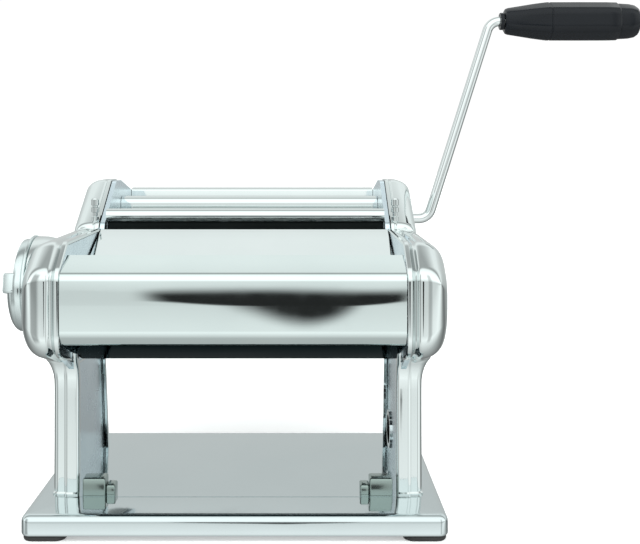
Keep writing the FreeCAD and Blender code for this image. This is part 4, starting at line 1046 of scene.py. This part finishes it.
# %% Base screws and nuts
NUT_RADIUS = 3.2
HEAD_RADIUS = 3.6
HEAD_HEIGHT = 2.0
nut_low, nut_high = span("base_nuts")
screw_low, screw_high = span("base_screws")
columns = (screw_high.x - HEAD_RADIUS, HEAD_RADIUS - screw_high.x)
rows = (nut_low.y + NUT_RADIUS, nut_high.y - NUT_RADIUS)
nut_points = [at(x, y, (nut_low.z + nut_high.z) / 2) for x in columns for y in rows]
nuts = grow(marks("hexagon_nuts", nut_points), FASTENER_TREE, corners=6, radius=NUT_RADIUS * MM,
            height=(nut_high.z - nut_low.z) * MM, shank_radius=2.5 * MM, shank_length=1.4 * MM,
            finish=nickel)
settle(nuts, "machine", "bright_fasteners", nickel, "base_nuts")
head_middle = screw_low.z + HEAD_HEIGHT / 2
screw_points = [at(x, y, head_middle) for x in columns for y in rows]
screws = grow(marks("round_head_screws", screw_points), FASTENER_TREE, corners=32,
              radius=HEAD_RADIUS * MM, height=HEAD_HEIGHT * MM, shank_radius=2 * MM,
              shank_length=(screw_high.z - head_middle) * MM, finish=nickel)
settle(screws, "machine", "bright_fasteners", nickel, "base_screws")

# %% [markdown]
# The camera stands level in front of the machine and a little to its right, and looks straight
# back. Turning it down would make the uprights lean, so the picture is shifted instead.

# %% Camera
camera_data = bpy.data.cameras.new("front_camera")
camera = bpy.data.objects.new("front_camera", camera_data)
bpy.context.scene.collection.objects.link(camera)
camera_data.sensor_width = 36
camera_data.lens = 55.7
camera_data.shift_x = 0.0375
camera_data.shift_y = -0.1985
camera.location = at(28.1, -450, 180.7)
camera.rotation_euler = (math.radians(90), 0, 0)
bpy.context.scene.camera = camera
bpy.context.scene.view_settings.view_transform = "Standard"

print("camera lens", camera_data.lens, "mm")

# %% [markdown]
# The floor is plain and pale, and takes only a soft shadow. It is hidden from mirror-like
# reflections, because the chrome should show the room and not a grey sheet.

# %% Floor
floor_mesh = bpy.data.meshes.new("floor")
shape = bmesh.new()
bmesh.ops.create_grid(shape, x_segments=1, y_segments=1, size=6)
shape.to_mesh(floor_mesh)
shape.free()
floor = bpy.data.objects.new("floor", floor_mesh)
bpy.context.scene.collection.objects.link(floor)
pale = bpy.data.materials.new("pale_floor")
pale.use_nodes = True
pale_shader = pale.node_tree.nodes["Principled BSDF"]
pale_shader.inputs["Base Color"].default_value = (0.86, 0.87, 0.87, 1)
pale_shader.inputs["Roughness"].default_value = 0.7
pale_shader.inputs["Emission Color"].default_value = (1, 1, 1, 1)
pale_shader.inputs["Emission Strength"].default_value = 0.35
floor_mesh.materials.append(pale)
floor.visible_glossy = False

# %% [markdown]
# Chrome has no look of its own: it shows the room. A studio picture would fix the room, but a
# formula is lighter and can be tuned. The direction of each ray becomes a place on one sweep
# right round the machine, front to back and back over the top, and a ramp gives its brightness.

# %% Room as one sweep
world = bpy.data.worlds.new("studio")
bpy.context.scene.world = world
world.use_nodes = True
tree = world.node_tree
background = tree.nodes["Background"]
coordinates = tree.nodes.new("ShaderNodeTexCoord")
direction = tree.nodes.new("ShaderNodeSeparateXYZ")
tree.links.new(coordinates.outputs["Generated"], direction.inputs["Vector"])
right, away, up = direction.outputs


def smooth_range(value, start, end, low=0.0, high=1.0):
    node = tree.nodes.new("ShaderNodeMapRange")
    node.interpolation_type = "SMOOTHSTEP"
    for label, number in (("From Min", start), ("From Max", end), ("To Min", low), ("To Max", high)):
        node.inputs[label].default_value = number
    tree.links.new(value, node.inputs["Value"])
    return node.outputs["Result"]


# 0 and 1 are level in front, 0.25 is straight down, 0.5 level behind, 0.75 overhead
sweep = calculate(tree, "MULTIPLY_ADD", calculate(tree, "ARCTAN2", up, away), 1 / (2 * math.pi))
sweep.node.inputs[2].default_value = 0.5
room = tree.nodes.new("ShaderNodeValToRGB")
stops = room.color_ramp.elements
tree.links.new(sweep, room.inputs["Fac"])
ROOM = ((0.0, 0.86), (0.03, 0.9), (0.045, 1.1), (0.08, 1.3), (0.25, 0.6), (0.42, 0.2), (0.5, 0.66),
        (0.55, 0.74), (0.6, 0.95), (0.625, 1.12), (0.665, 1.15), (0.69, 0.9), (0.72, 0.5), (0.75, 0.55),
        (0.78, 1.3), (0.85, 1.6), (0.95, 1.6), (0.985, 1.25), (1.0, 0.92))
stops[0].position, stops[1].position = ROOM[0][0], ROOM[-1][0]
for place, value in ROOM[1:-1]:
    stops.new(place)
for stop, (place, value) in zip(stops, ROOM):
    stop.position = place
    stop.color = (value * 0.96 / 2, value / 2, value * 0.99 / 2, 1)

print("room has", len(ROOM), "bands")

# %% [markdown]
# Someone stands in front of a real machine, and its front cover shows a dark rounded shape. A
# modelled figure would cast shadows, so the shape is only painted into the room, low in front.
# It is widest at eye level, and deepest a little to the right of the middle.

# %% Dark shape in front
degrees = 180 / math.pi
towards = calculate(tree, "MULTIPLY", away, -1.0)
azimuth = calculate(tree, "MULTIPLY", calculate(tree, "ARCTAN2", right, towards), degrees)
elevation = calculate(tree, "MULTIPLY", calculate(tree, "ARCSINE", up), degrees)
width = smooth_range(azimuth, 0.0, 1.6, 9.6, 6.0)
from_deepest = calculate(tree, "SUBTRACT", azimuth, 0.8)
across = calculate(tree, "ABSOLUTE", calculate(tree, "DIVIDE", from_deepest, width))
below_level = calculate(tree, "MINIMUM", elevation, 0.0)
below = calculate(tree, "ABSOLUTE", calculate(tree, "DIVIDE", below_level, 15.6))
fullness = 1.6
spread = calculate(tree, "ADD", calculate(tree, "POWER", across, fullness),
                   calculate(tree, "POWER", below, fullness))
inside = smooth_range(spread, 0.8, 1.1, 1.0, 0.0)
under = smooth_range(elevation, -1.5, 1.5, 1.0, 0.0)
dark = calculate(tree, "MULTIPLY", inside, under)
light = calculate(tree, "SUBTRACT", 1.0, calculate(tree, "MULTIPLY", dark, 0.97))

# %% [markdown]
# The domes of the side covers need upright grey bands, or they look like white plaster. A broad
# grey screen stands on the left and a narrow one on the right, and both fade out above and below.
# The camera itself sees plain white, so the screens exist only in the reflections.

# %% Grey screens and the finished room
def band(value, start, full_start, full_end, end):
    """1 between the two full places, fading to 0 at the start and the end."""
    rise = smooth_range(value, start, full_start)
    return calculate(tree, "MULTIPLY", rise, smooth_range(value, full_end, end, 1.0, 0.0))


left_screen = band(azimuth, -74, -62, -44, -28)
right_screen = band(azimuth, 24, 31, 37, 46)
low = smooth_range(calculate(tree, "ABSOLUTE", elevation), 25, 45, 1.0, 0.0)
screens = calculate(tree, "ADD", left_screen, calculate(tree, "MULTIPLY", right_screen, 0.7))
screened = calculate(tree, "MULTIPLY", calculate(tree, "MULTIPLY", screens, low), 0.55)
light = calculate(tree, "MULTIPLY", light, calculate(tree, "SUBTRACT", 1.0, screened))

shade = tree.nodes.new("ShaderNodeVectorMath")
shade.operation = "SCALE"
tree.links.new(room.outputs["Color"], shade.inputs[0])
tree.links.new(light, shade.inputs["Scale"])
path = tree.nodes.new("ShaderNodeLightPath")
white = tree.nodes.new("ShaderNodeMix")
white.data_type = "RGBA"
white.inputs["B"].default_value = (0.52, 0.52, 0.52, 1)
tree.links.new(path.outputs["Is Camera Ray"], white.inputs["Factor"])
tree.links.new(shade.outputs["Vector"], white.inputs["A"])
tree.links.new(white.outputs["Result"], background.inputs["Color"])
background.inputs["Strength"].default_value = 2.0

print("screens reach 45 degrees above and below level")

# %% [markdown]
# Two large soft lamps give the black grip and the rubber feet their sheen. They are hidden from
# reflections, where they would be hard squares on the chrome.

# %% Soft lamps
LAMPS = (("overhead", (60, -60, 700), 0.9, 2.5), ("left_fill", (-600, -300, 450), 0.7, 1.5))
for name, place, size, power in LAMPS:
    lamp = bpy.data.lights.new(name, "AREA")
    lamp.size = size
    lamp.energy = power
    thing = bpy.data.objects.new(name, lamp)
    bpy.context.scene.collection.objects.link(thing)
    thing.visible_glossy = False
    thing.location = at(*place)
    thing.rotation_euler = (at(0, 60, 80) - thing.location).to_track_quat("-Z", "Y").to_euler()

print(len(LAMPS), "lamps")
